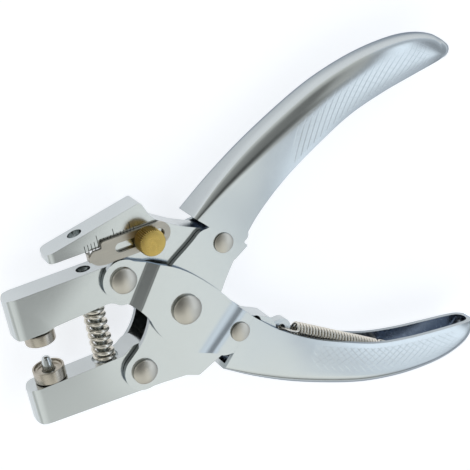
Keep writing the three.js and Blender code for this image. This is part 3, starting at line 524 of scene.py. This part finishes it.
HANDLE_REACH = 104.5 * MM
HANDLE_SPREAD = 57 * MM
CORNER_MM = [1.4, 3.2, 4.8, 5.4, 5.6, 5.5, 5.2, 4.8, 4.4]
LOWER_CORNER = 0.7
WIDTH_LIMIT = 0.96
DEPTH_LIMIT = 0.7
ROW_POWER = 0.8
WALL = 1.5 * MM
PLATE_GAP = 0.2 * MM
PLATE_LOW = 4.25 * MM
PLATE_HIGH = PLATE_LOW + WALL
LIFT = WALL + PLATE_GAP
CHANNEL_SWELL = 0.5 * MM
TIP_HALF = 4.2 * MM
TIP_ROUND_SHARE = 0.94
TIP_ROUND_DEPTH = 0.6
HOLLOW_END = 0.975
HOLLOW_TAPER = 0.9
SKIN = 0.02 * MM
PLATE_END_R = 6.1 * MM
PLATE_TUCK = 0.5 * MM
WEB_SHARE = 0.66
BACK_SHARES = [[0.0823, 0.446], [0.182, 0.582], [0.308, 0.723], [0.472, 0.865], [0.589, 0.94],
               [0.718, 0.988], [0.847, 0.998], [0.943, 0.958], [0.997, 0.874]]
MOUTH_SHARES = [[0.204, 0.214], [0.282, 0.356], [0.388, 0.495], [0.526, 0.628], [0.622, 0.702],
                [0.732, 0.754], [0.837, 0.789], [0.928, 0.816], [0.991, 0.835]]
SWELL_SHARES = [0, 0, 0.6, 1, 1, 0.7, 0.2, 0, 0]
LEAN_MM = [0, 0.05, 0.35, 0.6, 0.75, 0.8, 0.75, 0.6, 0.4]
NARROW_SHARES = [0, 0, 0, 0, 0, 0, 0, 0.25, 1]
INNER_SHARES = [[-0.9, 0.31], [-0.53, 0.43], [-0.25, 0.456], [0.03, 0.44], [0.37, 0.4],
                [0.65, 0.325]]
OUTER_SHARES = [[-0.68, -0.25], [-0.42, -0.315], [-0.27, -0.42], [0.01, -0.52], [0.37, -0.51],
                [0.79, -0.415], [0.98, -0.4]]
JOGGLE_FOLDS = [[-17, 0, 1.2], [-13.9, 1, 1.2], [13.8, 1, 16], [18.6, 0, 8]]
JOGGLE_LEAN = 0.13
FRONT_SHARES = np.array([0.0, 0.05])
HOLLOW_GROUPS = (1, 6, 7)


def through(points, shares):
    """Smooth curve through evenly spaced points, as cubic Hermite spans whose slopes are half the
    step from the point before to the point after."""
    points = np.asarray(points, float)
    if points.ndim == 1:
        points = points[:, None]
    last = len(points) - 1
    place = np.clip(shares * last, 0, last - 1e-9)
    span = place.astype(int)
    t = (place - span)[:, None]
    slopes = np.gradient(points, axis=0)
    a, b = points[span], points[span + 1]
    m, n = slopes[span], slopes[span + 1]
    return ((2 * t ** 3 - 3 * t ** 2 + 1) * a + (t ** 3 - 2 * t ** 2 + t) * m
            + (3 * t ** 2 - 2 * t ** 3) * b + (t ** 3 - t ** 2) * n)


def corner_cut(points, rounds=4):
    """Smooth curve with its ends kept: each round cuts every corner at a quarter of its sides."""
    for _ in range(rounds):
        first, second = points[:-1], points[1:]
        cut = np.stack([0.75 * first + 0.25 * second, 0.25 * first + 0.75 * second], 1)
        points = np.vstack([points[:1], cut.reshape(-1, points.shape[1])[1:-1], points[-1:]])
    return points


def channel_curves(shares):
    """A channel's back and mouth in the plane of the handles, and half its width: this narrows at
    the tip, where its square also falls with the square of the way into the round."""
    scale = np.array([HANDLE_REACH, HANDLE_SPREAD])
    back = through(np.array(BACK_SHARES) * scale, shares)
    mouth = through(np.array(MOUTH_SHARES) * scale, shares)
    half = (PLATE_HIGH + CHANNEL_SWELL * through(SWELL_SHARES, shares)
            - (PLATE_HIGH - TIP_HALF) * through(NARROW_SHARES, shares))[:, 0]
    past = np.clip((shares - TIP_ROUND_SHARE) / (1 - TIP_ROUND_SHARE), 0, 1)
    return back, mouth, half * np.sqrt(1 - TIP_ROUND_DEPTH * past ** 2)


def channel_section(depth, half, radius, lean, corner_steps=12, side_steps=10):
    """Arch of a channel as rows of (distance from the mouth, thickness place): up the near wall,
    which leans in towards the mouth as a square, round the near corner, over the back, and down
    the far wall."""
    radius = np.minimum(np.minimum(radius, half * WIDTH_LIMIT), depth * DEPTH_LIMIT)
    t = np.linspace(0, np.pi / 2, corner_steps + 1)
    rise = np.linspace(0, 1, side_steps, endpoint=False)
    near_u = rise[None] * (depth - radius)[:, None]
    near_w = half[:, None] - lean[:, None] * (1 - rise[None]) ** 2
    arc_u = (depth - radius)[:, None] + radius[:, None] * np.sin(t)
    arc_w = (half - radius)[:, None] + radius[:, None] * np.cos(t)
    u = np.hstack([near_u, arc_u, arc_u[:, ::-1], near_u[:, ::-1]])
    w = np.hstack([near_w, arc_w, -arc_w[:, ::-1], -near_w[:, ::-1]])
    return u, w


def channel_part(side, rows=150):
    """Pressed channel: an outer arch and an inner one run from the front rim to the tip. The hollow
    ends like a boat, where its depth and width follow a quarter of a rounded square. The second
    result is each point's way along the mouth and its distance from it, for the grip pattern."""
    corner_mm = np.array(CORNER_MM) * (LOWER_CORNER if side < 0 else 1.0)

    def measured(values_mm, shares):
        return through(values_mm, shares)[:, 0] * MM

    def placed(mouths, backs, away, across):
        inward = unit(backs - mouths)
        flat = mouths[:, None] + inward[:, None] * away[..., None]
        return np.concatenate([flat * [1, side], (across + MID_Z)[..., None]], -1)

    shares = np.linspace(0, 1, rows) ** ROW_POWER
    back, mouth, half = channel_curves(shares)
    depth = np.linalg.norm(back - mouth, axis=1)
    u, w = channel_section(depth, half + SKIN, measured(corner_mm, shares),
                           measured(LEAN_MM, shares))
    outer = placed(mouth, back, u, w)
    in_shares = shares * HOLLOW_END
    in_back, in_mouth, in_half = channel_curves(in_shares)
    in_depth = np.linalg.norm(in_back - in_mouth, axis=1)
    ease = np.clip((in_shares - HOLLOW_TAPER) / (HOLLOW_END - HOLLOW_TAPER), 0, 1)
    boat = (1 - ease ** 3) ** (1 / 3)
    inner = placed(in_mouth, in_back, *channel_section(
        (in_depth - WALL) * boat, (in_half - WALL) * boat,
        measured(corner_mm, in_shares) - WALL / 2, measured(LEAN_MM, in_shares) * boat))

    columns = outer.shape[1]
    end = columns - 1
    hollow = rows * columns
    pole = hollow + (rows - 1) * columns
    near = np.arange(rows - 2) * columns
    far = near + end
    j = np.arange(end)
    tip, tail = (rows - 1) * columns, hollow + (rows - 2) * columns
    faces = [
        grid_quads(rows, columns, False),
        hollow + grid_quads(rows - 1, columns, False)[:, ::-1],
        np.stack([near, near + columns, hollow + near + columns, hollow + near], -1),
        np.stack([far, hollow + far, hollow + far + columns, far + columns], -1),
        np.stack([j, hollow + j, hollow + j + 1, j + 1], -1),
        np.array([[tip - columns, tip, pole, tail],
                  [tip - columns + end, tail + end, pole, tip + end]]),
        np.stack([tail + j, tail + j + 1, np.full(end, pole)], -1),
        np.array([[tip, tip + end, pole]]),
        (tip + np.arange(columns))[None],
    ]
    points = np.vstack([outer.reshape(-1, 3), inner[:-1].reshape(-1, 3), inner[-1:, 0]])
    run = np.concatenate([[0], np.cumsum(np.linalg.norm(np.diff(mouth, axis=0), axis=1))])
    plain = np.full((rows - 1) * columns + 1, -1.0)
    along = np.concatenate([np.repeat(run, columns), plain])
    return (points, faces), np.stack([along, np.concatenate([u.ravel(), plain])], -1)


def plate_edges(stations):
    """Inner and outer edge of a front plate, across its pins' line, at places along that line."""
    back, mouth, _ = channel_curves(FRONT_SHARES)
    deep = mouth + (back - mouth) * WEB_SHARE
    turn = np.array([[PIN_X, PIN_Y], [PIN_Y, -PIN_X]]) / PIN_RADIUS
    edges = []
    for start, shares, rear in ((PLATE_END_R, INNER_SHARES, mouth),
                                (-PLATE_END_R, OUTER_SHARES, deep)):
        middle = np.array(shares) * PIN_RADIUS
        edge = corner_cut(np.vstack([[-PIN_RADIUS, start], middle, rear @ turn.T]))
        edges.append(np.interp(stations, edge[:, 0], edge[:, 1]))
    end = np.sqrt(np.maximum(PLATE_END_R ** 2 - (stations + PIN_RADIUS) ** 2, 0))
    in_end = stations < -PIN_RADIUS
    return np.where(in_end, end, edges[0]), np.where(in_end, -end, edges[1])


def plate_part(side, face, joggled, columns=14):
    """Front plate: along the pins' line it is a strip between two edges, round at its front, and a
    joggled one is lifted over the inner plate by a ramp at each end."""
    round_end = -PIN_RADIUS - PLATE_END_R * np.cos(np.linspace(0.06, np.pi / 2, 26))
    mouth = channel_curves(FRONT_SHARES)[1]
    rear = (mouth[0] @ [PIN_X, PIN_Y]) / PIN_RADIUS + PLATE_TUCK
    stations = np.concatenate([round_end[:-1], np.linspace(-PIN_RADIUS, rear, 180)])
    high, low = plate_edges(stations)
    t = np.linspace(0, 1, columns)
    across = high[:, None] * (1 - t) + low[:, None] * t
    along = np.repeat(stations[:, None], columns, 1)
    lift = np.zeros_like(along)
    if joggled:
        folds = [(place, up * LIFT / MM, fold) for place, up, fold in JOGGLE_FOLDS]
        rise = rounded([(-40, 0, 0), *folds, (40, 0, 0)], 8, False) * MM
        lift = np.interp(along - np.sign(along) * JOGGLE_LEAN * across, rise[:, 0], rise[:, 1])
    x = (along * PIN_X + across * PIN_Y) / PIN_RADIUS
    y = (along * PIN_Y - across * PIN_X) / PIN_RADIUS * side
    top, under = (np.stack([x, y, MID_Z + face * (level + lift)], -1)
                  for level in (PLATE_HIGH, PLATE_LOW))
    ring = np.concatenate([top, under[:, ::-1]], 1)
    rows, count = ring.shape[:2]
    last = (rows - 1) * count + np.arange(count)
    return ring.reshape(-1, 3), [grid_quads(rows, count, True), np.arange(count)[None], last[None]]


def make_handle(name, side, joggled):
    """A channel and its two plates in one piece; the faces of the hollow get their own darker, bluer
    plating, painted shade in the hollow.
    """
    channel, channel_uv = channel_part(side)
    plates = [plate_part(side, face, joggled) for face in (1, -1)]
    blank = np.full((sum(len(points) for points, _ in plates), 2), -1.0)
    piece = make_piece(f"{name}_pressing", [channel, *plates], name.replace("handle", "grip"), name,
                       name, sharp=28.0, uv=np.vstack([channel_uv, blank]))
    piece.data.materials.append(material_of("channel_inside"))
    counts = [len(group) for group in channel[1]]
    finish_of = np.zeros(len(piece.data.polygons), np.int32)
    for group in HOLLOW_GROUPS:
        first = sum(counts[:group])
        finish_of[first:first + counts[group]] = 1
    piece.data.polygons.foreach_set("material_index", finish_of)
    round_edges(piece, sizes().sheet_round, 40.0, 2)


# Turned parts: a rivet has its shank's share of the radius, and a head's of half the height

RIVETS = [("main_rivet", "lower_handle", 0.667, 1.8 / 9.35),
          ("upper_jaw_rivet", "lower_handle", 0.658, 1.6 / 7.45),
          ("lower_jaw_rivet", "upper_handle", 0.658, 1.6 / 7.45),
          ("upper_guide_pin", "upper_handle", 0.656, 0.9 / 6.75),
          ("lower_guide_pin", "lower_handle", 0.656, 0.9 / 6.75)]
DOME_SHARE = 0.9


def rivet_part(node, shank_share, head_share):
    """Rivet along Z: two heads on a plain shank, whose dome falls as the square of the way from its
    middle, and whose rounded rim draws in a little at its seat."""
    low, high = low_of(node), high_of(node)
    radius = (high[0] - low[0]) / 2
    top = (high[2] - low[2]) / 2
    head = top * head_share
    dome = np.linspace(1, 0, 14) * DOME_SHARE
    flat = np.stack([dome * radius, top - head * sizes().head_dome * dome ** 2], -1)
    rise = flat[0, 1]
    corner = rounded([[radius * 0.66, top - head], [radius * 0.93, top - head, 0.05 * MM],
                      [radius, top - 0.72 * head, 0.2 * MM], [radius, rise - 0.1 * head, 0.25 * MM],
                      [radius * DOME_SHARE, rise]], 6, False)
    shank = radius * shank_share
    half = np.vstack([[shank, 0], [shank, top - head], corner, flat[1:]])
    points, faces = lathe(np.vstack([half[::-1][:-1] * [1, -1], half[1:]]))
    return points + middle_of(node), faces


def bar_profile(corners, steps=4):
    """Profile through corners, each a radius, a height and a rounding in millimetres."""
    return rounded([[value * MM for value in corner] for corner in corners], steps, False)


def height_of(node):
    return (high_of(node) - low_of(node))[1] / MM


def turned_piece(name, node, material, body, corners, sides=96):
    """Turned part along Y: its profile starts at the node's lowest Y, midway in X and Z."""
    middle = middle_of(node)
    points, faces = lathe(bar_profile(corners), sides)
    place = np.array([middle[0], low_of(node)[1], middle[2]])
    make_piece(name, [(turned_to_y(points) + place, faces)], material, body, node)


def add_rivets():
    for node, body, shank, head in RIVETS:
        make_piece(f"{node}_domed", [rivet_part(node, shank, head)], "rivet_nickel", body, node,
                   sharp=50.0)


def add_dies():
    top = height_of("upper_die")
    turned_piece("upper_die_flared", "upper_die", "turned_die", "upper_jaw", [
        (0, 4.6, 0), (2, 4.6, 0), (2, 0, 0.15), (2.4, 0, 0.15), (2.75, 0.7, 0.2), (3.5, 0.7, 0.1),
        (3.5, 0, 0.1), (4.4, 0, 0.45), (4.4, 3.25, 0.3), (2.9, 3.25, 0.1), (2.9, top, 0),
        (0, top, 0)])
    rim = height_of("lower_die_cup")
    turned_piece("lower_die_bowl", "lower_die_cup", "turned_die", "lower_jaw", [
        (0, 0, 0), (2.9, 0, 0.2), (2.9, rim - 3.7, 0.1), (4.6, rim - 3.7, 0.3), (4.6, rim, 0.28),
        (4.05, rim, 0.2), (3.9, rim - 1.05, 0.8), (1.95, rim - 1, 0.1), (1.95, rim - 2.6, 0),
        (0, rim - 2.6, 0)])
    tip = height_of("pilot_pin")
    turned_piece("pilot_pin_turned", "pilot_pin", "bright_turned", "lower_jaw", [
        (0, 0, 0), (1.8, 0, 0), (1.8, tip - 4.2, 0.2), (1.28, tip - 0.9, 0.3),
        (1.1, tip - 0.35, 0.5), (0.6, tip, 0.5), (0, tip, 0)], 64)


def add_punch():
    """Hollow punch, and its spring: a helix along Y whose first and last turn lie closer."""
    tip = height_of("punch_rod")
    turned_piece("punch_rod_turned", "punch_rod", "bright_turned", "lower_jaw", [
        (0, 0, 0), (1.85, 0, 0.1), (1.85, tip - 0.8, 0.1), (1.5, tip, 0.05), (1.35, tip, 0.05),
        (1.35, tip - 2, 0.2), (0, tip - 2, 0)], 64)
    low, high = low_of("punch_spring"), high_of("punch_spring")
    wire = 0.62 * MM
    coil = (high[0] - low[0]) / 2 - wire
    middle = middle_of("punch_spring")
    turns = sizes().punch_turns
    turn = np.linspace(0, turns, int(turns * 48))
    span = high[1] - low[1] - 2 * wire
    closed = 1.5 * MM
    climb = np.interp(turn, [0, 1, turns - 1, turns], [0, closed, span - closed, span])
    path = np.stack([middle[0] + coil * np.cos(2 * np.pi * turn), low[1] + wire + climb,
                     middle[2] + coil * np.sin(2 * np.pi * turn)], -1)
    spring = make_piece("punch_spring_coil", [swept(path, wire, 14)], "spring_wire", "lower_jaw",
                        "punch_spring")
    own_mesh(spring)


HOOK_EYE = np.array([31.7, -22.2]) * MM
HOOK_RUN = 5.2 * MM
REAR_RUN = 4.4 * MM
COIL_R = 2.45 * MM
COIL_WIRE = 0.44 * MM
LEAD = 1.6 * MM


def add_return_spring():
    """One wire: a hook through the lug, a coil that goes round its axis by the sine and cosine of
    an angle as it runs along, and an eye round the anchor pin."""
    anchor = middle_of("spring_anchor_pin")
    eye = np.array([*HOOK_EYE, MID_Z])
    along = unit(anchor - eye)
    across = np.array([-along[1], along[0], 0.0])
    up = np.array([0.0, 0.0, 1.0])
    length = np.linalg.norm(anchor - eye)
    turns = sizes().return_turns

    def at(run, side, rise):
        run, side, rise = np.broadcast_arrays(run, side, rise)
        return eye + run[:, None] * along + side[:, None] * across + rise[:, None] * up

    hook = np.linspace(np.pi, 0, 20)
    tail = at(np.linspace(COIL_R + 2.6 * MM, COIL_R, 6)[:-1], 0, -COIL_R)
    bend = at(COIL_R - COIL_R * np.sin(hook), 0, COIL_R * np.cos(hook))
    run = at(np.linspace(COIL_R, HOOK_RUN, 8)[1:-1], 0, COIL_R)
    angle = np.linspace(0, 2 * np.pi * (turns + 0.25), int(turns * 30))
    start, end = HOOK_RUN + LEAD / 2, length - REAR_RUN
    way = start + (end - start) * angle / angle[-1]
    coil = at(way, COIL_R * np.sin(angle), COIL_R * np.cos(angle))
    loop = np.linspace(0, 1.5 * np.pi, 36)
    lead = at(np.linspace(end, length, 8)[1:-1], COIL_R, 0)
    eye_loop = at(length + COIL_R * np.sin(loop), COIL_R * np.cos(loop), 0)
    path = np.vstack([tail, bend, run, coil, lead, eye_loop])
    for _ in range(2):
        path[1:-1] = (path[:-2] + 2 * path[1:-1] + path[2:]) / 4
    spring = make_piece("return_spring_wire", [swept(path, COIL_WIRE, 10)], "spring_wire", None,
                        None, sharp=60.0)
    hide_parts("return_spring", "return_spring_hook")
    tuple(at(np.array([end]), 0, 0)[0])
    tuple(at(np.array([start]), 0, 0)[0])
    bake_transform(spring)


def add_thumb_screw():
    """Knob whose rim radius follows a row of ridges round the angle, with a smooth chamfered top.
    Each of its rows is a radius in millimetres, a height, and the share of the ridges' depth."""
    low, high = low_of("thumb_screw"), high_of("thumb_screw")
    centre = middle_of("thumb_screw")
    size = (high[0] - low[0]) / 2 / MM
    knurls = sizes().knurls
    top, base = high[2] - 0.04 * MM, high[2] - 5 * MM
    summit = top + 0.03 * MM
    sides = knurls * 8
    angle = np.arange(sides) * 2 * np.pi / sides
    ridge = 0.5 + 0.5 * np.cos(knurls * angle)
    depth = 0.5 * MM
    rows = [(0.62, base, 0), (size * 0.9, base, 0), (size * 0.96, base + 0.12 * MM, 0.4),
            (size, base + 0.35 * MM, 1), (size, top - 0.5 * MM, 1),
            (size * 0.965, top - 0.16 * MM, 0.35), (size * 0.93, top - 0.03 * MM, 0),
            (size * 0.9, top, 0), (size * 0.45, summit, 0)]
    r, z, k = np.array(rows).T
    radii = r[:, None] * MM - depth * k[:, None] * (1 - ridge)
    ring = np.stack([centre[0] + radii * np.cos(angle), centre[1] + radii * np.sin(angle),
                     np.repeat(z[:, None], sides, 1)], -1).reshape(-1, 3)
    knob = capped(ring, (*centre[:2], base), (*centre[:2], summit), sides)
    points, faces = lathe(bar_profile([(0, 0, 0), (1.3, 0, 0.2), (1.3, 6.2, 0), (0, 6.2, 0)]), 48)
    shank = (points + [*centre[:2], low[2]], faces)
    make_piece("thumb_screw_knurled", [knob, shank], "turned_brass", "thumb_screw", "thumb_screw",
               sharp=50.0)


def add_depth_gauge():
    """The slide, and sixteen marks a scale pitch apart, of which each fifth is longer."""
    merged_copy("depth_stop", "depth_stop_slide", "brushed_slide", "depth_stop",
                0.1 * MM)
    face = high_of("upper_jaw")[2]
    half, proud, sunk = sizes().mark_width / 2, 0.012 * MM, 0.1 * MM
    first, foot, short, long = -24.2 * MM, 25.8 * MM, 28.35 * MM, 29.9 * MM
    climb = 0.06 * MM
    marks = []
    for step in range(16):
        x = first + step * sizes().mark_pitch
        top = (long if step % 5 == 4 else short) + (step - 4) * climb
        marks.append(block((x - half, foot, face - sunk), (x + half, top, face + proud)))
    make_piece("gauge_scale", marks, "engraved_mark", "upper_jaw", None)


def add_jaws():
    for node in ("upper_jaw", "lower_jaw"):
        merged_copy(node, f"{node}_bar", "satin_plating", node, sizes().edge_round)


def add_handles():
    make_handle("upper_handle", 1, False)
    make_handle("lower_handle", -1, True)


def dress_plain_parts():
    for node in ("main_spacer", "spring_anchor_pin"):
        data = frame["nodes"][node].data
        data.materials.clear()
        data.materials.append(material_of("inner_steel"))


# Stage

CAMERA_PLACE = (-0.0993, 0.1501, 0.28715)
CAMERA_RIGHT = (0.8706, -0.1652, 0.4634)
CAMERA_BACK = (-0.3662, 0.4115, 0.8346)
CAMERA_LENS = 85.6
FLOOR_HALF = 6
LAMPS = [("side_lamp", (-0.75, 0.35, 0.7), 0.3, 0.4, (1.0, 0.99, 0.97))]
FLOOR_WHITES = (0.53, 0.56)
GLOW = 0.72
GLOW_COLOUR = (0.97, 0.99, 1.03, 1.0)

# The room, by a ray's direction: a ramp has two places and the level at each, and a dark corner
# has its middle, two radii and its level
CEILING_STOPS = [(-1.0, 1.0), (-0.5, 0.95), (-0.2, 0.65), (0.0, 0.46), (0.12, 0.45),
                 (0.17, 0.6), (0.205, 1.05), (0.3, 1.14), (0.35, 1.24), (0.375, 1.02),
                 (0.413, 0.62), (0.44, 0.76), (0.467, 1.25), (0.503, 1.5), (0.6, 1.5),
                 (0.68, 0.7), (0.8, 0.45), (1.0, 0.9)]
REAR_DIM = (-0.35, -0.22, 1.0, 0.5)
RIGHT_LIT = (0.41, 0.46, 0.0, 1.0)
DARK_CORNERS = [((0.07, 0.12, 0.0), 0.15, 0.36, 0.42), ((-0.42, 0.25, 0.0), 0.12, 0.28, 0.35)]
FRONT_SHARE = (-0.52, -0.43, 0.65, 0.0)
FRONT_LIGHT = (0.46, 0.58, 1.12, 0.4)
WALL_LIGHT = 0.65
WALL_SHADE = (-0.75, -0.6, 0.36, 0.0)
WALL_TOP = (0.2, 0.5)
BAND_SHARE = (0.06, 0.18, 1.0, 0.0)
BAND_LIGHT = 0.9
COOL_EDGE = (0.335, 0.41)
LEFT_TINT = (0.975, 1.0, 0.975, 1.0)
RIGHT_TINT = (0.88, 0.97, 1.08, 1.0)


def make_stage():
    camera = new_object("camera", bpy.data.cameras.new("camera"))
    back = Vector(CAMERA_BACK).normalized()
    right = Vector(CAMERA_RIGHT)
    right = (right - back * right.dot(back)).normalized()
    up = back.cross(right)
    turn = Matrix((right, up, back)).transposed()
    camera.matrix_world = Matrix.Translation(CAMERA_PLACE) @ turn.to_4x4()
    camera.data.lens = CAMERA_LENS
    camera.data.clip_start, camera.data.clip_end = 0.01, 20.0
    bpy.context.scene.camera = camera
    for name, place, size, power, colour in LAMPS:
        lamp = bpy.data.lights.new(name, "AREA")
        lamp.shape, lamp.size, lamp.energy, lamp.color = "DISK", size, power, colour
        facing = Vector(place).to_track_quat("Z", "Y").to_matrix().to_4x4()
        new_object(name, lamp).matrix_world = Matrix.Translation(place) @ facing
    corners = np.array([[-1, -1, 0], [1, -1, 0], [1, 1, 0], [-1, 1, 0]], float) * FLOOR_HALF
    mesh = bpy.data.meshes.new("floor")
    mesh.from_pydata(corners.tolist(), [], [[0, 1, 2, 3]])
    floor = new_object("floor", mesh)
    mesh.materials.append(floor_material())
    make_world()
    bpy.context.scene.view_settings.view_transform = "Standard"


def floor_material():
    """White floor that keeps a soft shadow: a diffuse white, and a glow that only views and
    reflections see."""
    material, tree = empty_material("pale_floor")
    place = add_node(tree, "ShaderNodeTexCoord").outputs["Object"]
    paper = add_node(tree, "ShaderNodeTexNoise", Vector=place, Scale=40.0).outputs["Fac"]
    white = scaled(tree, paper, 0.0, 1.0, *FLOOR_WHITES)
    diffuse = add_node(tree, "ShaderNodeBsdfDiffuse", Color=white)
    glow = add_node(tree, "ShaderNodeEmission", Color=GLOW_COLOUR,
                    Strength=maths(tree, "MULTIPLY", light_seen(tree), GLOW))
    total = add_node(tree, "ShaderNodeAddShader", _0=diffuse.outputs[0], _1=glow.outputs[0])
    add_node(tree, "ShaderNodeOutputMaterial", Surface=total.outputs[0])
    return material


def light_seen(tree):
    """One for rays of the camera, of a reflection and through glass, and nought for the others."""
    path = add_node(tree, "ShaderNodeLightPath").outputs
    both = maths(tree, "MAXIMUM", path["Is Camera Ray"], path["Is Glossy Ray"])
    return maths(tree, "MAXIMUM", both, path["Is Transmission Ray"])


def stepped(tree, value, stops):
    """Smooth curve through (place, height) stops, for a value from -1 to 1."""
    node = add_node(tree, "ShaderNodeFloatCurve", _1=value)
    curve = node.mapping.curves[0]
    node.mapping.clip_min_x, node.mapping.clip_max_x, node.mapping.clip_max_y = -1.0, 1.0, 4.0
    node.mapping.use_clip = True
    for place, height in stops[1:-1]:
        curve.points.new(place, height)
    for point, (place, height) in zip(curve.points, stops):
        point.location = (place, height)
    node.mapping.update()
    return node.outputs[0]


def make_world():
    """Soft room, the same for every ray. Its ceiling follows a curve from the left to the right,
    is dimmed towards the rear but for its right side, evens out at the front, and has dark
    corners. Its walls are grey, darker at the front, and a pale band meets the floor. The right
    side is cooler."""
    world = bpy.data.worlds.new("soft_room")
    bpy.context.scene.world = world
    world.use_nodes = True
    tree = world.node_tree
    tree.nodes.clear()
    x, y, z = add_node(tree, "ShaderNodeSeparateXYZ",
                       Vector=add_node(tree, "ShaderNodeTexCoord").outputs["Generated"]).outputs
    level = add_node(tree, "ShaderNodeCombineXYZ", X=x, Y=y).outputs[0]
    open_share = maths(tree, "MAXIMUM", ramp(tree, y, *REAR_DIM), ramp(tree, x, *RIGHT_LIT))
    for corner, core, edge, depth in DARK_CORNERS:
        away = add_node(tree, "ShaderNodeVectorMath", {"operation": "DISTANCE"}, _0=level,
                        _1=corner).outputs["Value"]
        lit = ramp(tree, away, core, edge, depth, 1.0)
        open_share = maths(tree, "MULTIPLY", open_share, lit)
    ceiling = mixed(tree, ramp(tree, y, *FRONT_SHARE), stepped(tree, x, CEILING_STOPS),
                    ramp(tree, x, *FRONT_LIGHT))
    wall = maths(tree, "SUBTRACT", WALL_LIGHT, ramp(tree, y, *WALL_SHADE))
    ceiling = maths(tree, "MULTIPLY", ceiling, open_share)
    light = mixed(tree, ramp(tree, z, *WALL_TOP), wall, ceiling)
    light = mixed(tree, ramp(tree, z, *BAND_SHARE), light, BAND_LIGHT)
    tint = mixed_colour(tree, ramp(tree, x, *COOL_EDGE), LEFT_TINT, RIGHT_TINT)
    room = add_node(tree, "ShaderNodeBackground", Color=tint, Strength=light)
    add_node(tree, "ShaderNodeOutputWorld", Surface=room.outputs[0])


class EYELET_PLIERS_OT_stage(bpy.types.Operator):
    """Set up the camera, the lamps, the room and the pale floor"""
    bl_idname = "eyelet_pliers.stage"
    bl_label = "Stage"

    def execute(self, context):
        make_stage()
        return {"FINISHED"}


class EYELET_PLIERS_OT_jaws(bpy.types.Operator):
    """Round the edges of the two jaws and give them their plating"""
    bl_idname = "eyelet_pliers.jaws"
    bl_label = "Jaws"

    def execute(self, context):
        add_jaws()
        return {"FINISHED"}


class EYELET_PLIERS_OT_handles(bpy.types.Operator):
    """Press the two channel handles with their front plates and grip pattern"""
    bl_idname = "eyelet_pliers.handles"
    bl_label = "Handles"

    def execute(self, context):
        add_handles()
        return {"FINISHED"}


class EYELET_PLIERS_OT_rivets(bpy.types.Operator):
    """Turn the domed rivets and guide pins"""
    bl_idname = "eyelet_pliers.rivets"
    bl_label = "Rivets"

    def execute(self, context):
        add_rivets()
        return {"FINISHED"}


class EYELET_PLIERS_OT_dies(bpy.types.Operator):
    """Turn the upper die, the lower die cup and its pilot pin"""
    bl_idname = "eyelet_pliers.dies"
    bl_label = "Dies"

    def execute(self, context):
        add_dies()
        return {"FINISHED"}


class EYELET_PLIERS_OT_punch(bpy.types.Operator):
    """Turn the punch rod and wind the spring round it"""
    bl_idname = "eyelet_pliers.punch"
    bl_label = "Punch and spring"

    def execute(self, context):
        add_punch()
        return {"FINISHED"}


class EYELET_PLIERS_OT_return_spring(bpy.types.Operator):
    """Wind the return spring from the lug to its anchor pin"""
    bl_idname = "eyelet_pliers.return_spring"
    bl_label = "Return spring"

    def execute(self, context):
        add_return_spring()
        return {"FINISHED"}


class EYELET_PLIERS_OT_depth_gauge(bpy.types.Operator):
    """Make the slide of the depth gauge and the engraved scale"""
    bl_idname = "eyelet_pliers.depth_gauge"
    bl_label = "Depth gauge"

    def execute(self, context):
        add_depth_gauge()
        return {"FINISHED"}


class EYELET_PLIERS_OT_thumb_screw(bpy.types.Operator):
    """Turn the knurled brass thumb screw"""
    bl_idname = "eyelet_pliers.thumb_screw"
    bl_label = "Thumb screw"

    def execute(self, context):
        add_thumb_screw()
        return {"FINISHED"}


class EYELET_PLIERS_OT_plain_parts(bpy.types.Operator):
    """Give the inner parts their plain steel"""
    bl_idname = "eyelet_pliers.plain_parts"
    bl_label = "Inner parts"

    def execute(self, context):
        dress_plain_parts()
        return {"FINISHED"}


STEPS = [EYELET_PLIERS_OT_stage, EYELET_PLIERS_OT_jaws, EYELET_PLIERS_OT_handles,
         EYELET_PLIERS_OT_rivets, EYELET_PLIERS_OT_dies, EYELET_PLIERS_OT_punch,
         EYELET_PLIERS_OT_return_spring, EYELET_PLIERS_OT_depth_gauge, EYELET_PLIERS_OT_thumb_screw,
         EYELET_PLIERS_OT_plain_parts]


class EYELET_PLIERS_PT_panel(bpy.types.Panel):
    """Lists the steps that make the pliers"""
    bl_idname = "EYELET_PLIERS_PT_panel"
    bl_label = "Eyelet pliers"
    bl_space_type = "VIEW_3D"
    bl_region_type = "UI"
    bl_category = "Eyelet pliers"

    def draw(self, context):
        for group in (sizes(), finish()):
            for key in group.__annotations__:
                self.layout.prop(group, key)
        for step in STEPS:
            self.layout.operator(step.bl_idname)


CLASSES = [EyeletPliersSizes, EyeletPliersFinish, *STEPS, EYELET_PLIERS_PT_panel]


def register():
    for item in CLASSES:
        bpy.utils.register_class(item)
    bpy.types.Scene.eyelet_pliers_sizes = bpy.props.PointerProperty(type=EyeletPliersSizes)
    bpy.types.Scene.eyelet_pliers_finish = bpy.props.PointerProperty(type=EyeletPliersFinish)


def unregister():
    del bpy.types.Scene.eyelet_pliers_finish
    del bpy.types.Scene.eyelet_pliers_sizes
    for item in reversed(CLASSES):
        bpy.utils.unregister_class(item)


def main():
    register()
    for step in STEPS:
        group, name = step.bl_idname.split(".")
        getattr(getattr(bpy.ops, group), name)()


if __name__ == "__main__":
    main()
